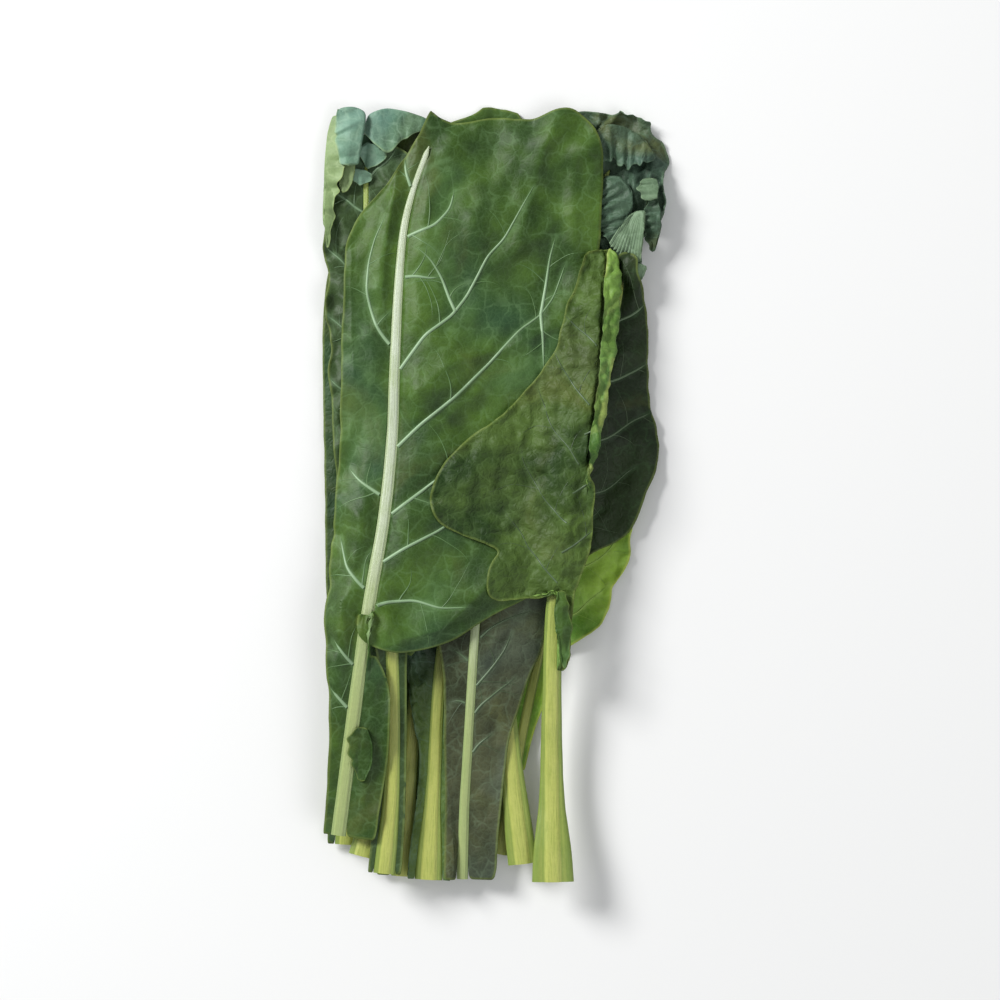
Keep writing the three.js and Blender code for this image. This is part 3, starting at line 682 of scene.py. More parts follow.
@dataclass
class LeafLine:
    """The line of a leaf's stalk and midrib as seen from above, in millimetres from the frame's origin."""

    points: Points
    reach: float = 40.0
    dots: np.ndarray = field(init=False)
    ahead: np.ndarray = field(init=False)
    distance: np.ndarray = field(init=False)

    def __post_init__(self) -> None:
        """Works out closely spaced places on the line, with straight ends added."""
        given = np.array(self.points, float) - MIDDLE
        last = len(given) - 1
        dots = []
        for k in range(last):
            p0, p1, p2, p3 = given[max(k - 1, 0)], given[k], given[k + 1], given[min(k + 2, last)]
            v0, v1 = (p2 - p0) / 2, (p3 - p1) / 2
            for u in np.linspace(0, 1, 60, endpoint=False):
                dots.append((2 * (p1 - p2) + v0 + v1) * u**3 + (3 * (p2 - p1) - 2 * v0 - v1) * u**2 + v0 * u + p1)
        dots = np.array(dots + [given[-1]])
        first, final = dots[1] - dots[0], dots[-1] - dots[-2]
        steps = np.linspace(0, self.reach, 41)[1:]
        before = dots[0] - np.outer(steps[::-1], first / np.hypot(*first))
        after = dots[-1] + np.outer(steps, final / np.hypot(*final))
        self.dots = np.vstack([before, dots, after])
        gaps = np.hypot(*np.diff(self.dots, axis=0).T)
        self.distance = np.concatenate([[0], np.cumsum(gaps)]) - self.reach
        ahead = np.gradient(self.dots, axis=0)
        self.ahead = ahead / np.hypot(*ahead.T)[:, None]

    def locate(self, places: np.ndarray) -> tuple[np.ndarray, np.ndarray]:
        """Finds how far along the line and how far to its right places are.

        Args:
            places: Plan positions in millimetres.

        Returns:
            Distance along the line and distance to the right.
        """
        along = np.empty(len(places))
        across = np.empty(len(places))
        for start in range(0, len(places), BATCH):
            part = places[start:start + BATCH]
            nearest = ((part[:, None] - self.dots[None]) ** 2).sum(2).argmin(1)
            away = part - self.dots[nearest]
            ahead = self.ahead[nearest]
            along[start:start + BATCH] = self.distance[nearest] + (away * ahead).sum(1)
            across[start:start + BATCH] = away[:, 0] * ahead[:, 1] - away[:, 1] * ahead[:, 0]
        return along, across

    def at(self, distance: float) -> tuple[np.ndarray, np.ndarray]:
        """Finds a place on the line.

        Args:
            distance: How far along it is.

        Returns:
            The place, and the way ahead there.
        """
        place = np.array([np.interp(distance, self.distance, self.dots[:, k]) for k in (0, 1)])
        ahead = np.array([np.interp(distance, self.distance, self.ahead[:, k]) for k in (0, 1)])
        return place, ahead / np.hypot(*ahead)


class Pile:
    """Height of everything laid down so far, and of what is still to lie on top, on a grid of cells."""

    def __init__(self, cell: float = 1.5, half: tuple[float, float] = (105.0, 215.0)) -> None:
        """Starts with the bare surface.

        Args:
            cell: Size of a cell in millimetres.
            half: Half the size of the grid in millimetres.
        """
        self.cell = cell
        self.low = -np.array(half)
        self.shape = tuple(int(2 * h / cell) + 3 for h in half)
        self.heights = np.zeros(self.shape)
        self.ceiling = np.full(self.shape, FAR)

    def cells(self, places: np.ndarray) -> tuple[np.ndarray, np.ndarray]:
        """Gives the cells that plan positions fall in."""
        index = np.rint((places[:, :2] - self.low) / self.cell).astype(int)
        return tuple(np.clip(index, 0, np.array(self.shape) - 1).T)

    def lay(self, points: np.ndarray, faces: np.ndarray) -> None:
        """Adds a surface.

        Args:
            points: Corners in millimetres.
            faces: Corners of each four-sided face.
        """
        corner = points[faces]
        thirds = (0.0, 0.33, 0.67, 1.0)
        for u in thirds:
            for v in thirds:
                shares = np.array([(1 - u) * (1 - v), u * (1 - v), u * v, (1 - u) * v])
                spot = (corner * shares[None, :, None]).sum(1)
                np.maximum.at(self.heights, self.cells(spot), spot[:, 2])

    def hang(self, points: np.ndarray) -> None:
        """Keeps the room free above which something will lie, given close places on its underside."""
        for dx in (-self.cell, 0.0, self.cell):
            np.minimum.at(self.ceiling, self.cells(points + np.array([dx, 0.0, 0.0])), points[:, 2])

    def under(self, places: np.ndarray) -> np.ndarray:
        """Finds the height of the pile, and of the cells round it.

        Args:
            places: Plan positions in millimetres.

        Returns:
            The height at each.
        """
        wide = self.heights
        for axis in (0, 1):
            wide = np.maximum(wide, np.maximum(np.roll(wide, 1, axis), np.roll(wide, -1, axis)))
        spot = (places - self.low) / self.cell
        cell = np.clip(np.floor(spot).astype(int), 0, np.array(self.shape) - 2)
        share = np.clip(spot - cell, 0, 1)
        i, j = cell.T
        u, v = share.T
        near = wide[i, j] * (1 - u) + wide[i + 1, j] * u
        far = wide[i, j + 1] * (1 - u) + wide[i + 1, j + 1] * u
        return near * (1 - v) + far * v

    def over(self, places: np.ndarray) -> np.ndarray:
        """Gives the height that has to stay free at plan positions."""
        return self.ceiling[self.cells(places)]


def readings(items: Any, name: str, width: int, kind: type = float) -> np.ndarray:
    """Reads a property of all corners, edges or loops of a mesh.

    Args:
        items: The corners, edges or loops.
        name: The property.
        width: How many numbers each of them gives.
        kind: Type of the numbers.

    Returns:
        A row of numbers for each.
    """
    values = np.empty(len(items) * width, kind)
    items.foreach_get(name, values)
    return values.reshape(-1, width)


def arrays(mesh: bpy.types.Mesh) -> tuple[np.ndarray, np.ndarray, np.ndarray]:
    """Reads a mesh of four-sided faces.

    Args:
        mesh: The mesh, in metres.

    Returns:
        Corners in millimetres, faces and edges.
    """
    faces = readings(mesh.loops, "vertex_index", 1, int).reshape(-1, 4)
    return readings(mesh.vertices, "co", 3) / MM, faces, readings(mesh.edges, "vertices", 2, int)


def carry(mesh: bpy.types.Mesh, **facts: np.ndarray) -> None:
    """Stores values at a mesh's corners.

    Args:
        mesh: The mesh.
        facts: Numbers or vectors at all corners in order, by name.
    """
    for key, values in facts.items():
        kind, field_name = ("FLOAT_VECTOR", "vector") if values.ndim == 2 else ("FLOAT", "value")
        mesh.attributes.new(key, kind, "POINT").data.foreach_set(field_name, values.ravel())
    mesh.update()


def smoothed(mesh: bpy.types.Mesh) -> bpy.types.Mesh:
    """Shades all faces of a mesh smoothly and gives the mesh back."""
    mesh.polygons.foreach_set("use_smooth", [True] * len(mesh.polygons))
    return mesh


def spread(values: np.ndarray, edges: np.ndarray, rounds: int) -> np.ndarray:
    """Lets high values fade out over a mesh.

    Args:
        values: A value at each corner.
        edges: The mesh's edges.
        rounds: How many corners further they reach.

    Returns:
        Values that are nowhere lower, with soft surroundings.
    """
    count = len(values)
    share = np.maximum(np.bincount(edges.ravel(), minlength=count), 1)
    soft = values.copy()
    if not values.any():
        return soft
    for _ in range(rounds):
        total = np.bincount(edges[:, 0], soft[edges[:, 1]], count)
        total += np.bincount(edges[:, 1], soft[edges[:, 0]], count)
        soft = np.maximum(values, total / share)
    return soft


def eased(values: np.ndarray, low: float, high: float) -> np.ndarray:
    """Rises smoothly from 0 at low to 1 at high."""
    share = np.clip((values - low) / (high - low), 0, 1)
    return share * share * (3 - 2 * share)


def gaps_to(places: np.ndarray, targets: np.ndarray) -> np.ndarray:
    """Measures the plan distance from each place to the nearest target.

    Args:
        places: Places in millimetres.
        targets: Places in millimetres, or none.

    Returns:
        The distances in millimetres.
    """
    if not len(targets):
        return np.full(len(places), FAR)
    tree = KDTree(len(targets))
    for k, target in enumerate(targets):
        tree.insert((target[0], target[1], 0.0), k)
    tree.balance()
    return np.array([tree.find((x, y, 0.0))[2] for x, y in places[:, :2]])


def smooth_line(points: Points, step: float = 1.0) -> np.ndarray:
    """Makes a rounded plan line with even steps through positions read off the picture.

    Args:
        points: Positions in pixels of the picture, across and down.
        step: Distance between places in millimetres.

    Returns:
        The line, in millimetres from the frame's origin.
    """
    corners = (np.array(points, float) - PICTURE_MIDDLE) * PIXEL - MIDDLE
    gaps = np.concatenate([[0], np.cumsum(np.hypot(*np.diff(corners, axis=0).T))])
    steps = np.linspace(0, gaps[-1], max(int(gaps[-1] / step), 4) + 1)
    line = np.stack([np.interp(steps, gaps, corners[:, k]) for k in (0, 1)], 1)
    for _ in range(int(12 / step)):
        line[1:-1] = (line[:-2] + 2 * line[1:-1] + line[2:]) / 4
    return line


def line_mesh(name: str, lines: list[np.ndarray], **facts: np.ndarray) -> bpy.types.Mesh:
    """Makes a mesh of separate lines that carries values at its corners.

    Args:
        name: The mesh's name.
        lines: Corners of each line, in millimetres.
        facts: Values at all corners in order, numbers or vectors, in the units the tree expects.

    Returns:
        The mesh, in metres.
    """
    mesh = bpy.data.meshes.new(name)
    starts = np.cumsum([0] + [len(line) for line in lines])
    edges = [(s + k, s + k + 1) for s, line in zip(starts, lines) for k in range(len(line) - 1)]
    mesh.from_pydata((np.vstack(lines) * MM).tolist(), edges, [])
    carry(mesh, **facts)
    return mesh


def piece(name: str, mesh: bpy.types.Mesh, slot: Slot, *nodes: str) -> bpy.types.Object:
    """Adds a finished piece.

    Args:
        name: The piece's name.
        mesh: Its mesh, in place.
        slot: Its material slot; not used.
        nodes: CAD nodes that it stands for.

    Returns:
        The piece.
    """
    item = bpy.data.objects.new(name, mesh)
    bpy.context.scene.collection.objects.link(item)
    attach(item, "root")
    if nodes:
        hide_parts(*nodes)
    LOG.info("%s: %d faces", name, len(mesh.polygons))
    return item


def solid_points(name: str) -> np.ndarray:
    """Reads the corners of a solid of the frame.

    Args:
        name: The solid's node.

    Returns:
        Each corner once, in millimetres.
    """
    points = readings(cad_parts[name].data.vertices, "co", 3) / MM
    return np.unique(points.round(4), axis=0)


@dataclass
class Stalk:
    """A stalk that tapers into its leaf's midrib."""

    leaf: str
    line: LeafLine
    finish: StalkFinish
    slot: Slot
    sides: int = 36
    ribs: int = 13
    spacing: float = 2.5
    widening: float = 0.5
    tip: tuple[tuple[float, float, float], ...] = (
        (1.0, 1.0, 1.0), (2.2, 0.8, 0.85), (3.6, 0.5, 0.6), (5.2, 0.15, 0.25))
    facts: dict[str, np.ndarray] = field(init=False)

    def __post_init__(self) -> None:
        """Measures the solid stalk's sections: distance, floor, depth, half width and wing of each."""
        source = solid_points(f"{self.leaf}_leaf_stalk")
        along, across = self.line.locate(source[:, :2])
        order = np.argsort(along)
        groups = np.split(order, np.where(np.diff(along[order]) > 4)[0] + 1)
        rows = []
        for group in groups:
            z = source[group, 2]
            top = np.abs(across[group][z > z.max() - 0.05]).mean() / 0.55
            rows.append((along[group].mean(), z.min(), np.ptp(z), top, np.abs(across[group]).max() - top))
        last, before = rows[-1], rows[-2]
        slope = float(np.clip((last[1] - before[1]) / (last[0] - before[0]), -0.1, 0.1))
        for ahead, wide, deep in self.tip:
            rows.append((last[0] + ahead, last[1] + slope * ahead, last[2] * deep, last[3] * wide, 0.0))
        names = ("distance", "floor", "depth", "half", "wing")
        self.facts = dict(zip(names, np.array(rows).T))

    def half_width(self, along: np.ndarray) -> np.ndarray:
        """Gives half the stalk's width at distances, 0 beyond its tip."""
        width = self.facts["half"] + np.maximum(self.facts["wing"], 0)
        return np.interp(along, self.facts["distance"], width, right=0.0)

    def underside(self) -> np.ndarray:
        """Works out the room that the stalk takes above what lies below it.

        Returns:
            Close places on its underside, in millimetres.
        """
        distances = np.arange(self.facts["distance"][0], self.facts["distance"][-1], 0.7)
        floor = np.interp(distances, self.facts["distance"], self.facts["floor"])
        half = self.half_width(distances)
        places = []
        for d, z, h in zip(distances, floor, half):
            (x, y), (ax, ay) = self.line.at(d)
            places += [(x + ay * h * k, y - ax * h * k, z) for k in (-1.0, -0.5, 0.0, 0.5, 1.0)]
        return np.array(places)

    def build(self, tree: bpy.types.NodeTree, pile: Pile) -> bpy.types.Object:
        """Builds the stalk and lays it on the pile.

        Args:
            tree: The tree that sweeps a stalk.
            pile: What lies below.

        Returns:
            The finished piece.
        """
        known = self.facts["distance"]
        distances = np.unique(np.concatenate([
            np.linspace(known[0], known[-5], int((known[-5] - known[0]) / self.spacing)), known[-5:]]))
        value = {k: np.interp(distances, known, v) for k, v in self.facts.items()}
        wobble = np.array([noise.noise(Vector((d / 14, self.facts["half"][0], 0.0))) for d in distances])
        half = value["half"] * (1 + 0.04 * wobble) + self.widening * np.clip(value["half"], 0, 1)
        spots = [self.line.at(d) for d in distances]
        right = np.array([(a[1], -a[0], 0.0) for _, a in spots])
        centre = np.array([(p[0], p[1], z) for (p, _), z in zip(spots, value["floor"])])
        mesh = line_mesh(
            "stalk", [centre], right=right, centre=centre * MM, half=half * MM, along=distances,
            wing=np.maximum(value["wing"], 0) * MM, depth=value["depth"] * MM)
        swept = grown(
            mesh, tree, Sides=self.sides, Ribs=self.ribs, Skin=self.finish.material(), Cut=CUT.material())
        for polygon in swept.polygons:
            polygon.use_smooth = len(polygon.vertices) == 4
        quads = [p.vertices[:] for p in swept.polygons if len(p.vertices) == 4]
        points = np.array([v.co[:] for v in swept.vertices]) / MM
        pile.lay(points, np.array(quads))
        return piece(f"{self.leaf}_stalk", swept, self.slot, f"{self.leaf}_leaf_stalk")


@dataclass
class VeinPlan:
    """Where the side veins of a blade run, seen from above: given lines, or lines grown from the midrib."""

    line: LeafLine
    given: tuple[Points, ...] = ()  # in pixels of the picture
    start: float = 100.0
    end: float = 300.0
    spacing: float = 24.0
    thick: float = 0.9
    reach: float = 70.0
    angle: float = 56.0
    bend: float = 0.55
    twigs: int = 4
    twig_angle: float = 48.0
    twig_bend: float = 0.7

    def grow(self, spot: np.ndarray, heading: float, bend: float, length: float) -> np.ndarray:
        """Grows one line.

        Args:
            spot: Where it starts.
            heading: Its direction in radians.
            bend: Turn over its whole length in radians.
            length: Its length.

        Returns:
            The plan line, in steps of a millimetre.
        """
        count = max(int(length), 6)
        plan = [np.array(spot, float)]
        for k in range(count):
            wander = 0.5 * noise.noise(Vector((plan[-1][0] / 11, plan[-1][1] / 11, 3.1)))
            angle = heading + bend * k / count + wander
            plan.append(plan[-1] + np.array([math.cos(angle), math.sin(angle)]))
        return np.array(plan)

    def main_lines(self) -> list[np.ndarray]:
        """Lays out the side veins themselves.

        Returns:
            Their plan lines.
        """
        lines = [smooth_line(points) for points in self.given]
        if not lines:
            for k, distance in enumerate(np.arange(self.start, self.end, self.spacing / 2)):
                side = 1 if k % 2 else -1
                place, ahead = self.line.at(distance)
                heading = math.atan2(ahead[1], ahead[0]) - side * math.radians(self.angle)
                lines.append(self.grow(place, heading, side * self.bend, self.reach))
        return lines

    def lines(self) -> list[tuple[np.ndarray, np.ndarray]]:
        """Lays out the side veins and the finer ones that leave them.

        Returns:
            Plan lines, each with half its width along it.
        """
        found = []
        for number, plan in enumerate(self.main_lines()):
            radius = self.thick * (0.25 + 0.75 * np.linspace(1, 0, len(plan)) ** 0.8)
            found.append((plan, radius))
            for k in range(self.twigs):
                at = int((0.2 + 0.7 * (k + 0.5 * (number % 2)) / self.twigs) * (len(plan) - 4))
                side = 1 if (k + number) % 2 else -1
                way = plan[at + 3] - plan[at]
                heading = math.atan2(way[1], way[0]) + side * math.radians(self.twig_angle)
                twig = self.grow(plan[at], heading, side * self.twig_bend, 14.0 + 5.0 * ((number * 3 + k) % 4))
                found.append((twig, radius[at] * 0.5 * (0.3 + 0.7 * np.linspace(1, 0, len(twig)))))
        return found


@dataclass
class Relief:
    """Unevenness of a blade, in millimetres."""

    swell: float = 0.8
    swell_size: float = 38.0
    pucker: float = 0.35
    pucker_size: float = 12.0
    crumple: float = 0.0
    crumple_size: float = 22.0
    shift: float = 0.0
    ruffle: float = 0.5
    ruffle_size: float = 11.0
    ruffle_from: float = 130.0
    valley: float = 0.7
    creases: tuple[tuple[float, float, Points], ...] = ()  # height, width, and line in pixels of the picture
    seed: float = 0.0

    def moves(self, points: np.ndarray, along: np.ndarray, clear: np.ndarray, margin: np.ndarray,
              vein_gap: np.ndarray) -> tuple[np.ndarray, np.ndarray]:
        """Works out how the sheet's corners move.

        Args:
            points: Corners of the sheet.
            along: Their distance along the midrib.
            clear: Their distance from the side of the midrib.
            margin: Their distance from the leaf's margin.
            vein_gap: Their distance from the nearest side vein.

        Returns:
            Move along the sheet's normal and sideways move in plan.
        """
        rim = (1 - eased(margin, 0, 13)) * eased(along, self.ruffle_from - 30, self.ruffle_from + 20)
        inner = eased(clear, 0.3, 9)
        settled = eased(margin, 0, 14)
        out = np.empty(len(points))
        aside = np.empty((len(points), 2))
        for k, (x, y, _) in enumerate(points):
            spot = Vector((x, y, self.seed * 40))
            swell = noise.noise(spot / self.swell_size)
            pucker = noise.noise(spot / self.pucker_size) + 0.5 * noise.noise(spot / self.pucker_size * 2.3)
            ridge = 0.5 - 1.6 * abs(noise.noise(spot / self.crumple_size))
            ridge += 0.25 - 0.8 * abs(noise.noise(spot / self.crumple_size * 2.1))
            wave = noise.noise(spot / self.ruffle_size * 1.6) * 1.7
            side = noise.noise_vector(spot / self.ruffle_size * 1.3)
            out[k] = inner[k] * (self.swell * (swell + 0.55 * settled[k]) + self.pucker * pucker + self.crumple * ridge)
            out[k] += self.ruffle * wave * rim[k] ** 2 * inner[k]
            push = noise.noise_vector(spot / self.crumple_size * 1.4)
            aside[k] = (side[0], side[1])
            aside[k] *= self.ruffle * 0.55 * rim[k] ** 2 * inner[k]
            aside[k] += np.array(push[:2]) * self.shift * inner[k] * settled[k]
        out += self.valley * inner * (0.6 - np.exp(-(vein_gap / 4.0) ** 2))
        for height, width, line in self.creases:
            out += height * inner * np.exp(-gaps_to(points, smooth_line(line)) / width)
        return out, aside


@dataclass
class Blade:
    """The green sheet of a leaf, made fine and smooth from the solid blade."""

    leaf: str
    line: LeafLine
    upper: LeafFinish
    under: LeafFinish
    slot: Slot
    relief: Relief
    level: int = 2
    rolled: bool = False
    rim_from: float = 1.6  # beside the stalk
    cover: float = 9.0  # as high as another layer of the leaf may lie over a place
    fade: int = 8  # corners that a lift fades out over, for each level

    def sheet(self) -> bpy.types.Mesh:
        """Takes the upper side off the solid blade.

        Returns:
            The sheet, in mostly four-sided faces.
        """
        solid = bmesh.new()
        solid.from_mesh(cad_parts[f"{self.leaf}_leaf_blade"].data)
        bmesh.ops.remove_doubles(solid, verts=solid.verts, dist=WELD_GAP)
        seen: set[Any] = set()
        for edge in solid.edges:
            way = (edge.verts[1].co - edge.verts[0].co) / MM
            upright = math.hypot(way.x, way.y) < 0.02 and abs(way.z) > 0.3
            if upright or self.rolled and abs(way.length - BLADE_THICKNESS) < 0.004:
                seen.update(edge.link_faces)
        sides = []
        for face in solid.faces:
            if face in seen:
                continue
            stack, part = [face], []
            seen.add(face)
            while stack:
                one = stack.pop()
                part.append(one)
                for edge in one.edges:
                    fresh = [other for other in edge.link_faces if other not in seen]
                    seen.update(fresh)
                    stack.extend(fresh)
            sides.append(part)
        keep = set(max(sides, key=lambda part: sum(f.normal.z * f.calc_area() for f in part)))
        bmesh.ops.delete(solid, geom=[f for f in solid.faces if f not in keep], context="FACES")
        bmesh.ops.join_triangles(
            solid, faces=solid.faces, angle_face_threshold=1.2, angle_shape_threshold=1.4)
        mesh = bpy.data.meshes.new("sheet")
        solid.to_mesh(mesh)
        solid.free()
        return mesh

    def build(self, trees: dict[str, bpy.types.NodeTree], pile: Pile, stalk: Stalk,
              veins: list[tuple[np.ndarray, np.ndarray]]) -> BVHTree:
        """Builds the blade and lays it on the pile.

        Args:
            trees: The trees that refine and thicken a sheet.
            pile: What lies below.
            stalk: The leaf's own stalk.
            veins: Plan lines of its veins with half their widths.

        Returns:
            A tree that finds places on its upper side.
        """
        upper = self.upper.material()
        fine = grown(self.sheet(), trees["refine"], Level=self.level, Upper=upper)
        points, faces, edges = arrays(fine)
        along, across = self.line.locate(points[:, :2])
        half = stalk.half_width(along)
        border = np.bincount(faces.ravel(), minlength=len(points)) < 3
        margin = gaps_to(points, points[border & (np.abs(across) > half + self.rim_from)])
        broad = [plan for plan, radius in veins if radius[0] > BROAD_VEIN]
        vein_gap = gaps_to(points, np.vstack(broad) if broad else np.empty((0, 2)))
        clear = np.full(len(points), 20.0) if self.rolled else np.abs(across) - half
        out, aside = self.relief.moves(points, along, clear, margin, vein_gap)
        normals = readings(fine.vertices, "normal", 3)
        bare = BVHTree.FromPolygons(points.tolist(), faces.tolist())
        for k, (point, normal) in enumerate(zip(points, normals)):
            if normal[2] < 0.2:
                spot = Vector(point)
                crinkle = 1.5 - 3.4 * abs(noise.noise(spot / 8.0)) + 0.6 - 1.5 * abs(noise.noise(spot / 3.6))
                out[k] = -(0.35 * abs(out[k]) + max(crinkle, 0.0)) * eased(-normal[2:], -0.2, 0.8)[0]
            elif bare.ray_cast(Vector(point) + Vector((0, 0, 0.3)), Vector((0, 0, 1)), self.cover)[0]:
                out[k] = min(out[k], 0.1)
                aside[k] = 0
        points = points + normals * out[:, None]
        points[:, :2] += aside
        rounds = self.fade * self.level
        points[:, 2] -= spread(np.maximum(points[:, 2] - pile.over(points[:, :2]) + 0.1, 0), edges, rounds)
        lift = spread(np.maximum(
            pile.under(points[:, :2]) + BLADE_THICKNESS + CLEARANCE - points[:, 2], 0), edges, rounds)
        points[:, 2] += lift
        LOG.info("%s blade: lifted by up to %.2f mm, %.2f mm on average", self.leaf, lift.max(), lift.mean())
        fine.vertices.foreach_set("co", (points * MM).ravel())
        carry(fine, margin=margin, vein_gap=vein_gap, along=along)
        pile.lay(points, faces)
        thick = grown(
            fine, trees["thicken"], Thickness=BLADE_THICKNESS * MM, Upper=upper, Under=self.under.material())
        piece(f"{self.leaf}_blade", smoothed(thick), self.slot, f"{self.leaf}_leaf_blade")
        return BVHTree.FromPolygons(points.tolist(), faces.tolist())


@dataclass
class Veins:
    """Raised side veins of a blade."""

    leaf: str
    finish: VeinFinish
    slot: Slot
    sides: int = 8

    def drape(self, finder: BVHTree, plan: np.ndarray, radius: np.ndarray) -> tuple[np.ndarray, np.ndarray] | None:
        """Lays a plan line on the blade, as far as it stays on it.

        Args:
            finder: Finds places on the blade.
            plan: Plan positions in millimetres.
            radius: Half the vein's width at each.

        Returns:
            The places on the blade and their radii, or None if too short.
        """
        places: list[tuple[float, float, float]] = []
        for x, y in plan:
            hit = finder.ray_cast(Vector((x, y, 80.0)), Vector((0, 0, -1)))[0]
            if hit is None and not places:
                continue
            if hit is None or (places and abs(hit.z - places[-1][2]) > 1.5):
                break
            places.append((x, y, hit.z))
        if len(places) < 6:
            return None
        radius = radius[:len(places)] * np.minimum(1, (np.arange(len(places))[::-1] + 1) / 5)
        height = np.array(places)
        for _ in range(2):
            height[1:-1, 2] = (height[:-2, 2] + 2 * height[1:-1, 2] + height[2:, 2]) / 4
        height[:, 2] -= 0.3 * radius
        return height, radius

    def build(self, tree: bpy.types.NodeTree, finder: BVHTree, lines: list[tuple[np.ndarray, np.ndarray]]) -> None:
        """Builds the veins on a blade.

        Args:
            tree: The tree that sweeps veins.
            finder: Finds places on the blade.
            lines: Plan lines of the veins with half their widths.
        """
        laid = [one for one in (self.drape(finder, plan, radius) for plan, radius in lines) if one is not None]
        mesh = line_mesh("veins", [places for places, _ in laid], vein_radius=np.concatenate([r for _, r in laid]) * MM)
        swept = grown(mesh, tree, Sides=self.sides, Material=self.finish.material())
        piece(f"{self.leaf}_veins", smoothed(swept), self.slot)


@dataclass
class Fold:
    """A flap of a leaf that is turned over along a line and lies on the leaf."""

    hinge: Points  # in pixels of the picture
    free: Points  # as the hinge
    upper: LeafFinish
    roll: float = 0.9
    rise: float = 0.2
    wave: float = 0.5
    pleat: float = 0.5
    pitch: float = 9.0
    scallop: float = 0.5
    droop: float = 0.12
    corner: float = 10.0
    rows: int = 30
    curl: int = 8
    step: float = 0.6
    bridges: int = 60
    seed: float = 0.0

    def ends(self) -> np.ndarray:
        """Lays out the flap's two long sides in plan, drawn together at their ends.

        Returns:
            Evenly spaced places on the hinge, and as many on the free side.
        """
        lines = [smooth_line(points, self.step) for points in (self.hinge, self.free)]
        share = np.linspace(0, 1, max(len(line) for line in lines))
        hinge, free = (
            np.stack([np.interp(share, np.linspace(0, 1, len(line)), line[:, k]) for k in (0, 1)], 1) for line in lines)
        width = (1 - np.abs(2 * share - 1) ** self.corner) ** (1 / self.corner) * 0.92 + 0.08
        middle = hinge * 0.6 + free * 0.4
        return np.array([middle + (end - middle) * width[:, None] for end in (hinge, free)])

    def flap_corner(self, near: np.ndarray, far: np.ndarray, share: float, row: int,
                  phase: float) -> tuple[float, float, float]:
        """Works out one corner of the flap.

        Args:
            near: The place on the hinge.
            far: The place across from it on the free side.
            share: How far along the hinge they are, from 0 to 1.
            row: The corner's row, below 0 in the roll at the hinge.
            phase: Turn of the pleats there.

        Returns:
            Plan position, and height over what the flap lies on.
        """
        depth = max(row, 0) / self.rows
        turn = math.pi * max(-row, 0) / self.curl
        way = far - near
        length = max(float(np.hypot(*way)), 0.5)
        roll = min(self.roll, 0.22 * length) * math.sin(math.pi * (0.08 + 0.84 * share)) ** 0.5
        middle = math.sin(math.pi * share)
        place = near + way * (depth + self.scallop / length * depth**2 * math.sin(phase + 1.3) * middle)
        if row < 0:
            place = near + way / length * (roll * (1 - math.sin(turn)) - roll)
        height = roll * (1 + math.cos(turn)) if row < 0 else 2 * roll * (1 - depth) ** 1.5
        height += self.rise * math.sin(math.pi * min(depth * 1.1, 1)) * middle
        height += self.pleat * depth**0.8 * (0.6 + math.sin(phase) * (0.4 + 0.6 * middle))
        ripple = noise.noise(Vector((place[0] / 7, place[1] / 7, self.seed * 9)))
        height += self.wave * (0.25 + 0.75 * depth) * (ripple * 1.5 + 0.5)
        return place[0], place[1], height

    def eased_ground(self, ground: np.ndarray) -> np.ndarray:
        """Bridges steep steps in what the flap lies on.

        Args:
            ground: Its height under each corner, in rows.

        Returns:
            A surface that is nowhere lower and falls by no more than the droop from corner to corner.
        """
        for _ in range(self.bridges):
            soft = ground.copy()
            soft[1:] = np.maximum(soft[1:], ground[:-1] - self.droop)
            soft[:-1] = np.maximum(soft[:-1], ground[1:] - self.droop)
            soft[:, 1:] = np.maximum(soft[:, 1:], ground[:, :-1] - self.droop)
            soft[:, :-1] = np.maximum(soft[:, :-1], ground[:, 1:] - self.droop)
            ground = soft
        return ground

    def build(self, tree: bpy.types.NodeTree, pile: Pile, name: str, slot: Slot) -> None:
        """Builds the flap and lays it on the pile.

        Args:
            tree: The tree that thickens a sheet.
            pile: What lies below.
            name: The flap's name.
            slot: The material slot of its leaf's blade.
        """
        hinge, free = self.ends()
        count = len(hinge)
        share = np.linspace(0, 1, count)
        wander = [noise.noise(Vector((x / 9, y / 9, self.seed * 5))) for x, y in hinge]
        phase = [math.tau * (self.step * k / self.pitch + 0.7 * w) + self.seed for k, w in enumerate(wander)]
        points = np.array([
            self.flap_corner(hinge[k], free[k], share[k], row, phase[k])
            for row in range(-self.curl, self.rows + 1) for k in range(count)])
        ground = self.eased_ground(pile.under(points[:, :2]).reshape(-1, count))
        points[:, 2] += ground.ravel() + BLADE_THICKNESS + 0.1
        grid = np.arange(len(points)).reshape(-1, count)
        faces = np.stack([grid[:-1, :-1], grid[:-1, 1:], grid[1:, 1:], grid[1:, :-1]], -1).reshape(-1, 4)
        if self.normal_sum(points, faces) < 0:
            faces = faces[:, ::-1]
        mesh = bpy.data.meshes.new("fold")
        mesh.from_pydata((points * MM).tolist(), [], faces.tolist())
        side_gap = np.minimum(np.arange(count), np.arange(count)[::-1]) * 0.8
        free_gap = np.arange(self.rows + self.curl + 1)[::-1] * 0.6
        carry(
            mesh, margin=np.minimum(side_gap[None, :], free_gap[:, None]).ravel(),
            vein_gap=np.full(len(points), 50.0), along=np.full(len(points), 300.0))
        pile.lay(points, faces)
        upper = self.upper.material()
        thick = grown(mesh, tree, Thickness=BLADE_THICKNESS * MM, Upper=upper, Under=upper)
        piece(name, smoothed(thick), slot)

    @staticmethod
    def normal_sum(points: np.ndarray, faces: np.ndarray) -> float:
        """Gives the upward share of the faces' area."""
        a, b, c = (points[faces[:, k]] for k in (0, 1, 2))
        return float(np.cross(b - a, c - a)[:, 2].sum())


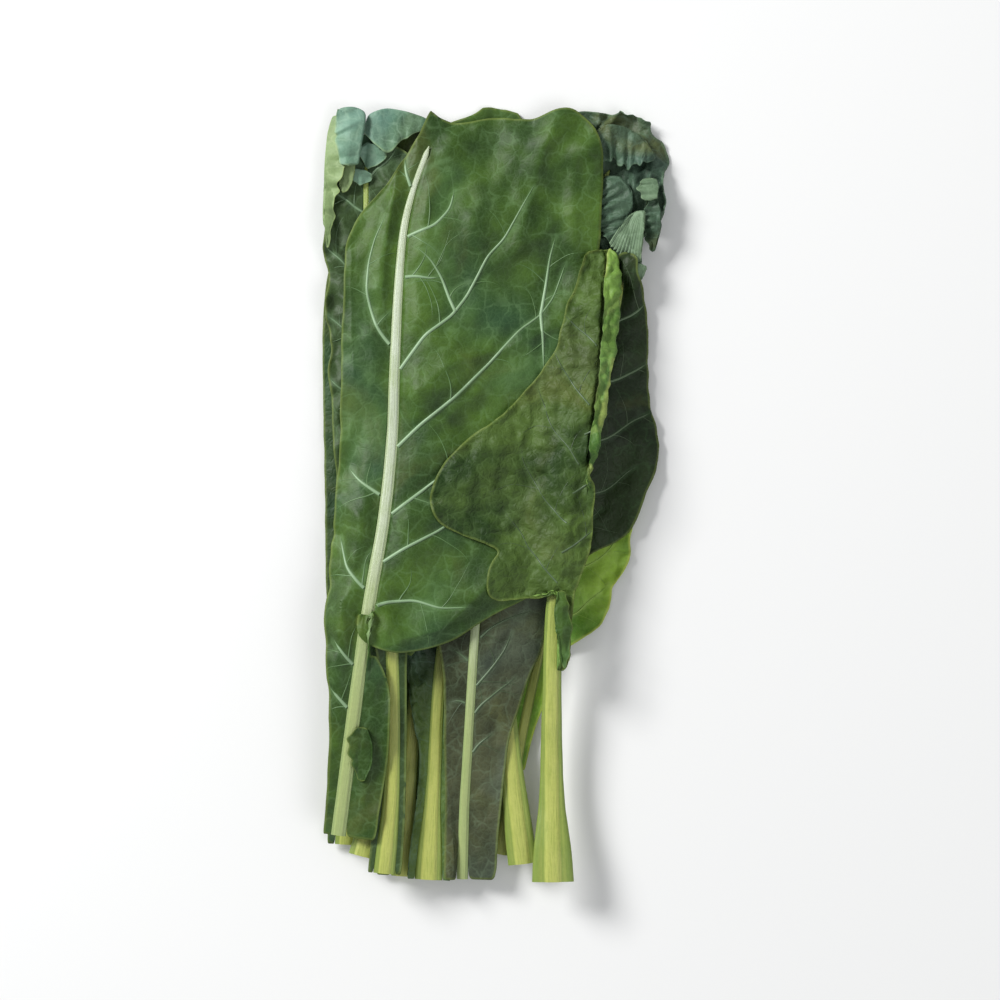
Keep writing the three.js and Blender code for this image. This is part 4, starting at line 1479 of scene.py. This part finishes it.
@dataclass
class Leaf:
    """One leaf: stalk, blade and, where they are seen, side veins and turned flaps."""

    name: str
    path: Points
    upper: LeafFinish
    under: LeafFinish
    blade_slot: Slot
    stalk_finish: StalkFinish
    stalk_slot: Slot
    relief: Relief
    level: int = 2
    vein_finish: VeinFinish | None = None
    veins: dict[str, Any] = field(default_factory=dict)
    folds: tuple[Fold, ...] = ()
    rolled: bool = False
    line: LeafLine = field(init=False)
    stalk: Stalk = field(init=False)

    def __post_init__(self) -> None:
        """Works out the leaf's line and measures its stalk."""
        self.line = LeafLine(self.path)
        self.stalk = Stalk(self.name, self.line, self.stalk_finish, self.stalk_slot)

    def build(self, trees: dict[str, bpy.types.NodeTree], pile: Pile) -> None:
        """Builds the leaf's pieces and lays them on the pile.

        Args:
            trees: The geometry trees by name.
            pile: What lies below.
        """
        below = pile.heights.copy()
        self.stalk.build(trees["stalk"], pile)
        lines = VeinPlan(self.line, **self.veins).lines() if self.vein_finish else []
        blade = Blade(
            self.name, self.line, self.upper, self.under, self.blade_slot, self.relief, self.level, self.rolled)
        if not self.rolled:
            pile.heights, below = below, pile.heights
        finder = blade.build(trees, pile, self.stalk, lines)
        pile.heights = np.maximum(pile.heights, below)
        if self.vein_finish:
            Veins(self.name, self.vein_finish, self.blade_slot).build(trees["veins"], finder, lines)
        for number, fold in enumerate(self.folds, 1):
            fold.build(trees["thicken"], pile, f"{self.name}_fold_{number}", self.blade_slot)


FRONT_VEINS = (
    ((392, 347), (384, 338), (376, 326), (370, 308), (366, 290), (368, 262), (374, 238), (385, 214)),
    ((388, 500), (374, 491), (358, 480), (348, 467)),
    ((372, 594), (360, 584), (347, 568), (340, 536)),
    ((360, 671), (345, 655), (335, 640)),
    ((355, 716), (342, 701), (331, 688)),
    ((391, 382), (401, 368), (425, 335), (452, 315), (467, 295), (488, 254), (504, 238), (534, 184)),
    ((400, 242), (407, 235), (435, 224), (450, 207), (454, 188)),
    ((372, 608), (385, 602), (415, 600), (440, 608), (470, 607)),
    ((455, 311), (449, 298), (441, 276), (430, 258), (415, 245)),
    ((389, 455), (420, 425), (455, 397), (490, 362), (520, 329), (541, 314), (554, 296), (566, 262)),
    ((384, 520), (410, 500), (450, 470), (490, 430), (530, 400)),
    ((377, 566), (405, 548), (440, 530), (480, 500)),
    ((541, 314), (546, 285), (550, 256), (556, 235)),
    ((541, 314), (543, 340), (544, 372)),
    ((412, 190), (405, 170), (404, 150)),
    ((401, 277), (415, 275), (430, 278), (441, 276)),
)
GREY_VEINS = (
    ((470, 707), (460, 700), (449, 703)),
    ((473, 667), (462, 655), (450, 648)),
    ((471, 692), (480, 682), (492, 668), (505, 650), (512, 632)),
    ((469, 722), (480, 706), (500, 690), (516, 678)),
    ((476, 642), (490, 628), (510, 618), (530, 612)),
    ((467, 762), (478, 745), (492, 735)),
)
FRONT_CREASES = (
    (2.4, 4.0, ((417, 136), (420, 158), (425, 182), (426, 212))),
    (2.0, 3.5, ((399, 150), (394, 190), (387, 240), (383, 290), (386, 335))),
    (4.2, 7.0, ((558, 117), (542, 149), (534, 184), (520, 219), (516, 245))),
    (-1.6, 7.0, ((536, 120), (522, 155), (508, 195), (494, 225))),
    (3.0, 6.5, ((420, 390), (455, 360), (500, 352), (550, 330))),
    (2.4, 6.0, ((462, 205), (480, 232), (482, 262), (470, 285))),
    (2.6, 6.0, ((575, 150), (572, 200), (578, 250))),
    (2.6, 6.0, ((400, 520), (440, 510), (480, 470), (500, 440))),
    (2.2, 5.0, ((400, 640), (440, 630), (475, 600), (500, 570))),
    (2.0, 6.0, ((350, 240), (352, 300), (356, 380))),
    (2.0, 5.0, ((345, 600), (350, 660), (345, 720))),
    (-2.2, 5.0, ((415, 128), (402, 160), (385, 188), (352, 222))),
)
UPTURNED_FOLDS = (
    Fold(((357, 148), (366, 139), (386, 150)), ((357, 150), (367, 168), (385, 156)), PALE, seed=1),
    Fold(((350, 166), (361, 166), (371, 172)), ((351, 178), (360, 184), (371, 178)), PALE, roll=0.6, seed=2),
    Fold(((339, 165), (346, 158), (355, 164)), ((338, 182), (342, 194), (352, 180)), STRAW, seed=3),
    Fold(((362, 127), (367, 112), (385, 106), (405, 109), (424, 115), (438, 123)), ((362, 129), (374, 142),
         (386, 153), (402, 137), (416, 129), (438, 125)), PALE, roll=1.0, wave=1.0, pleat=0.6, pitch=14.0, seed=4),
    Fold(((331, 111), (327, 130), (325, 160), (324, 190), (323, 215), (325, 246)), ((346, 110), (346, 130),
         (343, 160), (337, 188), (333, 215), (328, 247)), STRAW, roll=0.9, wave=1.2, pleat=0.8, pitch=13.0,
         scallop=1.2, seed=6),
    Fold(((338, 105), (352, 104), (364, 110), (362, 128), (359, 145), (357, 164)), ((336, 108), (334, 116),
         (334, 128), (335, 140), (337, 152), (339, 164)), PALE, roll=1.0, wave=1.0, pleat=0.5, pitch=12.0, seed=5),
)
RUFFLED_FOLDS = (
    Fold(((587, 146), (594, 131), (608, 122), (627, 125), (645, 136), (657, 152)), ((589, 152), (598, 161),
         (612, 155), (628, 167), (643, 161), (656, 158)), BLUE, roll=0.8, wave=2.4, pleat=1.2, pitch=7.5, scallop=1.6,
         seed=1),
    Fold(((606, 173), (621, 174), (632, 188), (633, 205), (627, 222), (615, 241)), ((602, 180), (597, 192),
         (601, 206), (596, 220), (603, 232), (611, 243)), BLUE, roll=0.8, wave=2.0, pleat=1.2, pitch=7.0, scallop=1.6,
         seed=2),
    Fold(((658, 196), (662, 212), (662, 228), (656, 250)), ((650, 200), (642, 213), (645, 230), (652, 249)), BLUE,
         roll=0.6, wave=2.0, pleat=1.0, pitch=6.0, scallop=1.2, seed=3),
    Fold(((657, 176), (660, 186), (658, 198)), ((644, 176), (637, 187), (645, 200)), FROND, roll=0.6, wave=1.2,
         pleat=0.9, pitch=4.2, scallop=0.9, seed=4),
    Fold(((631, 213), (637, 209), (646, 209)), ((608, 242), (624, 256), (642, 262)), FROND, roll=0.5, rise=0.6,
         wave=0.8, pleat=0.8, pitch=1.9, scallop=1.0, seed=5),
    Fold(((626, 266), (635, 260), (648, 265)), ((628, 275), (634, 286), (646, 274)), FROND, roll=0.5, wave=1.2,
         pleat=0.9, pitch=4.0, scallop=1.0, seed=6),
)
FRONT_FOLDS = (
    Fold(((368, 727), (374, 744), (373, 764), (365, 782)), ((358, 726), (347, 737), (349, 754), (358, 780)), GREEN,
         roll=0.1, rise=0.0, wave=0.4, pleat=0.25, pitch=8.0, scallop=0.8, seed=1),
)
CURLED_FOLDS = (
    Fold(((557, 590), (554, 612), (557, 636), (561, 664)), ((565, 590), (570, 612), (572, 642), (565, 670)), GREEN,
         roll=0.3, rise=0.2, wave=1.0, pleat=0.8, pitch=11.0, scallop=0.9, seed=3),
)

PALE_RIB = StalkFinish(
    "pale stalk skin", srgb(158, 172, 110), srgb(186, 196, 172), srgb(142, 162, 104), srgb(140, 160, 96))
GREEN_RIB = StalkFinish(
    "yellow-green stalk skin", srgb(174, 180, 92), srgb(160, 176, 90), srgb(100, 128, 48), srgb(134, 150, 60))

LEAVES = (
    Leaf("centre", ((-49, -190), (-46, -140), (-38, -50), (-28, 50), (-14, 125), (-3, 186)),
         GREEN, UNDER, Slot.GREEN_BLADE, GREEN_RIB, Slot.GREEN_STALK, Relief(seed=0.4)),
    Leaf("ruffled", ((-36, -191), (-33.5, -145), (-29, -75), (-15, 0), (10, 72), (38, 132), (60, 176)),
         BLUE, PALE, Slot.DARK_BLADE, GREEN_RIB, Slot.GREEN_STALK,
         Relief(swell=2.0, crumple=5.5, crumple_size=12.0, shift=2.6, pucker=1.0, pucker_size=7.0, ruffle=3.0,
                ruffle_size=11.0, ruffle_from=240.0, seed=1.9),
         3, DARK_VEIN, {"start": 230.0, "end": 360.0, "spacing": 30.0, "thick": 0.7, "reach": 60.0}, RUFFLED_FOLDS),
    Leaf("left", ((-78, -174), (-74, -100), (-73, -25), (-75, 50), (-76, 100), (-72, 138)),
         DARK, UNDER, Slot.GREEN_BLADE, GREEN_RIB, Slot.GREEN_STALK, Relief(seed=2.7)),
    Leaf("thick_stalk",
         ((-69, -179), (-58, -135), (-52, -78), (-47, -30), (-43, 25), (-42, 80), (-46, 130), (-52, 178)),
         GREEN, UNDER, Slot.GREEN_BLADE, GREEN_RIB, Slot.GREEN_STALK, Relief(seed=3.3)),
    Leaf("upturned", ((-58, -187), (-54, -140), (-54, -75), (-59, 0), (-64, 75), (-67, 125), (-68, 176)),
         TURNED, PALE, Slot.PALE_UNDERSIDE, GREEN_RIB, Slot.GREEN_STALK,
         Relief(swell=1.2, crumple=3.2, crumple_size=20.0, shift=1.5, ruffle=1.6, ruffle_from=230.0, seed=4.1),
         3, PALE_VEIN, {"start": 230.0, "end": 350.0, "spacing": 34.0, "thick": 0.7, "reach": 40.0}, UPTURNED_FOLDS),
    Leaf("bright", ((0, -179), (9, -130), (20.5, -75), (28, -45), (37.5, -10), (44, 25), (49, 58)),
         BRIGHT, LIME, Slot.BRIGHT_BLADE, GREEN_RIB, Slot.GREEN_STALK,
         Relief(swell=1.2, crumple=1.2, crumple_size=16.0, pucker=0.7, pucker_size=9.0, ruffle=1.6,
                ruffle_size=9.0, ruffle_from=120.0, seed=5.2),
         3, LIME_VEIN, {"start": 104.0, "end": 230.0, "spacing": 24.0, "thick": 0.6, "reach": 40.0}),
    Leaf("dark", ((11.5, -183), (4, -117), (2.5, -75), (12, -22), (34, 26), (54, 76), (63, 116)),
         OLIVE, UNDER, Slot.DARK_BLADE, GREEN_RIB, Slot.GREEN_STALK,
         Relief(swell=1.4, crumple=1.4, ruffle=0.9, seed=6.4),
         3, DARK_VEIN, {"start": 130.0, "end": 290.0, "spacing": 34.0, "thick": 0.7, "reach": 55.0}),
    Leaf("grey",
         ((-19, -191), (-18, -156), (-16.5, -130), (-14.5, -96), (-12.5, -65), (-10, -30), (-6, 10), (-2, 50), (0, 82)),
         GREY, UNDER, Slot.DARK_BLADE, PALE_RIB, Slot.PALE_STALK,
         Relief(swell=1.2, pucker=0.8, pucker_size=9.0, valley=0.6, ruffle=0.5, seed=7.1),
         3, DARK_VEIN, {"given": GREY_VEINS, "thick": 0.62, "twigs": 2}),
    Leaf("front",
         ((-81, -168), (-76, -130), (-70, -85), (-64, -45), (-58, -10), (-54, 30), (-52.5, 70), (-51, 105),
          (-48.5, 135), (-44, 155), (-38, 172)),
         GREEN, UNDER, Slot.GREEN_BLADE, PALE_RIB, Slot.PALE_STALK,
         Relief(swell=3.2, swell_size=30.0, pucker=0.8, pucker_size=14.0, crumple=1.6, crumple_size=28.0,
                valley=1.0, ruffle=0.8, creases=FRONT_CREASES, seed=8.8),
         3, SIDE_VEIN, {"given": FRONT_VEINS, "thick": 1.0, "twigs": 3}, FRONT_FOLDS),
    Leaf("curled", ((26.5, -191), (26, -150), (26, -100), (27.5, -50), (33.5, -10), (42.5, 35), (48, 75), (50, 106)),
         COARSE, LIME, Slot.GREEN_BLADE, GREEN_RIB, Slot.GREEN_STALK,
         Relief(swell=1.6, swell_size=22.0, pucker=1.4, pucker_size=8.0, crumple=1.4, crumple_size=12.0,
                ruffle=2.0, ruffle_size=12.0, ruffle_from=190.0, seed=9.6),
         3, DARK_VEIN, {"start": 150.0, "end": 300.0, "spacing": 30.0, "thick": 0.5, "reach": 44.0, "twigs": 2},
         CURLED_FOLDS, rolled=True),
)


# --------------------------------------------------------------------- stage


@dataclass
class Studio:
    """Floor, light and camera round the bunch."""

    floor_size: float = 30.0
    floor_drop: float = 0.0002
    camera_height: float = 1.5
    top_height: float = 0.02
    width_seen: float = 0.5
    sensor: float = 36.0

    def floor(self) -> None:
        """Lays the pale floor."""
        bpy.ops.mesh.primitive_plane_add(size=self.floor_size, location=(0, 0, -self.floor_drop))
        plane = bpy.context.object
        plane.name = "floor"
        plane.data.materials.append(PlainFinish("pale floor", (0.82, 0.82, 0.81), 0.9).material())

    def lamp(self, name: str, place: tuple[float, float, float], size: float, power: float) -> None:
        """Hangs a soft square lamp that faces the bunch.

        Args:
            name: The lamp's name.
            place: Where it hangs, in metres.
            size: Its side, in metres.
            power: Its power in watts.
        """
        data = bpy.data.lights.new(name, "AREA")
        data.size = size
        data.energy = power
        lamp = bpy.data.objects.new(name, data)
        lamp.location = place
        lamp.rotation_euler = (-Vector(place)).to_track_quat("-Z", "Y").to_euler()
        bpy.context.scene.collection.objects.link(lamp)

    def light(self) -> None:
        """Sets up the lamps and the pale surroundings."""
        self.lamp("window", (-1.75, 1.3, 1.4), 0.85, 84.0)
        self.lamp("fill", (1.3, -1.0, 2.0), 1.6, 15.0)
        world = bpy.data.worlds.new("room")
        world.use_nodes = True
        sky = world.node_tree.nodes["Background"]
        Nodes(world.node_tree).feed(sky, {"Color": (0.95, 0.97, 1.0, 1.0), "Strength": 0.4})
        bpy.context.scene.world = world
        bpy.context.scene.view_settings.view_transform = "Standard"

    def camera(self) -> None:
        """Hangs the camera straight over the bunch."""
        data = bpy.data.cameras.new("camera")
        data.sensor_width = self.sensor
        data.lens = self.sensor * (self.camera_height - self.top_height) / self.width_seen
        camera = bpy.data.objects.new("camera", data)
        camera.location = (-MIDDLE[0] * MM, -MIDDLE[1] * MM, self.camera_height)
        bpy.context.scene.collection.objects.link(camera)
        bpy.context.scene.camera = camera


def main() -> None:
    """Builds the leaves from the lowest up, then the stage round them."""
    logging.basicConfig(level=logging.INFO, format="%(message)s")
    noise.seed_set(NOISE_SEED)
    trees = {
        "refine": refining_tree(), "thicken": thickening_tree(), "stalk": stalk_tree(), "veins": vein_tree(),
    }
    pile = Pile()
    rooms = []
    for leaf in reversed(LEAVES):
        rooms.append(pile.ceiling.copy())
        pile.hang(leaf.stalk.underside())
    for leaf in LEAVES:
        pile.ceiling = rooms.pop()
        leaf.build(trees, pile)
    studio = Studio()
    studio.floor()
    studio.light()
    studio.camera()


if __name__ == "__main__":
    main()
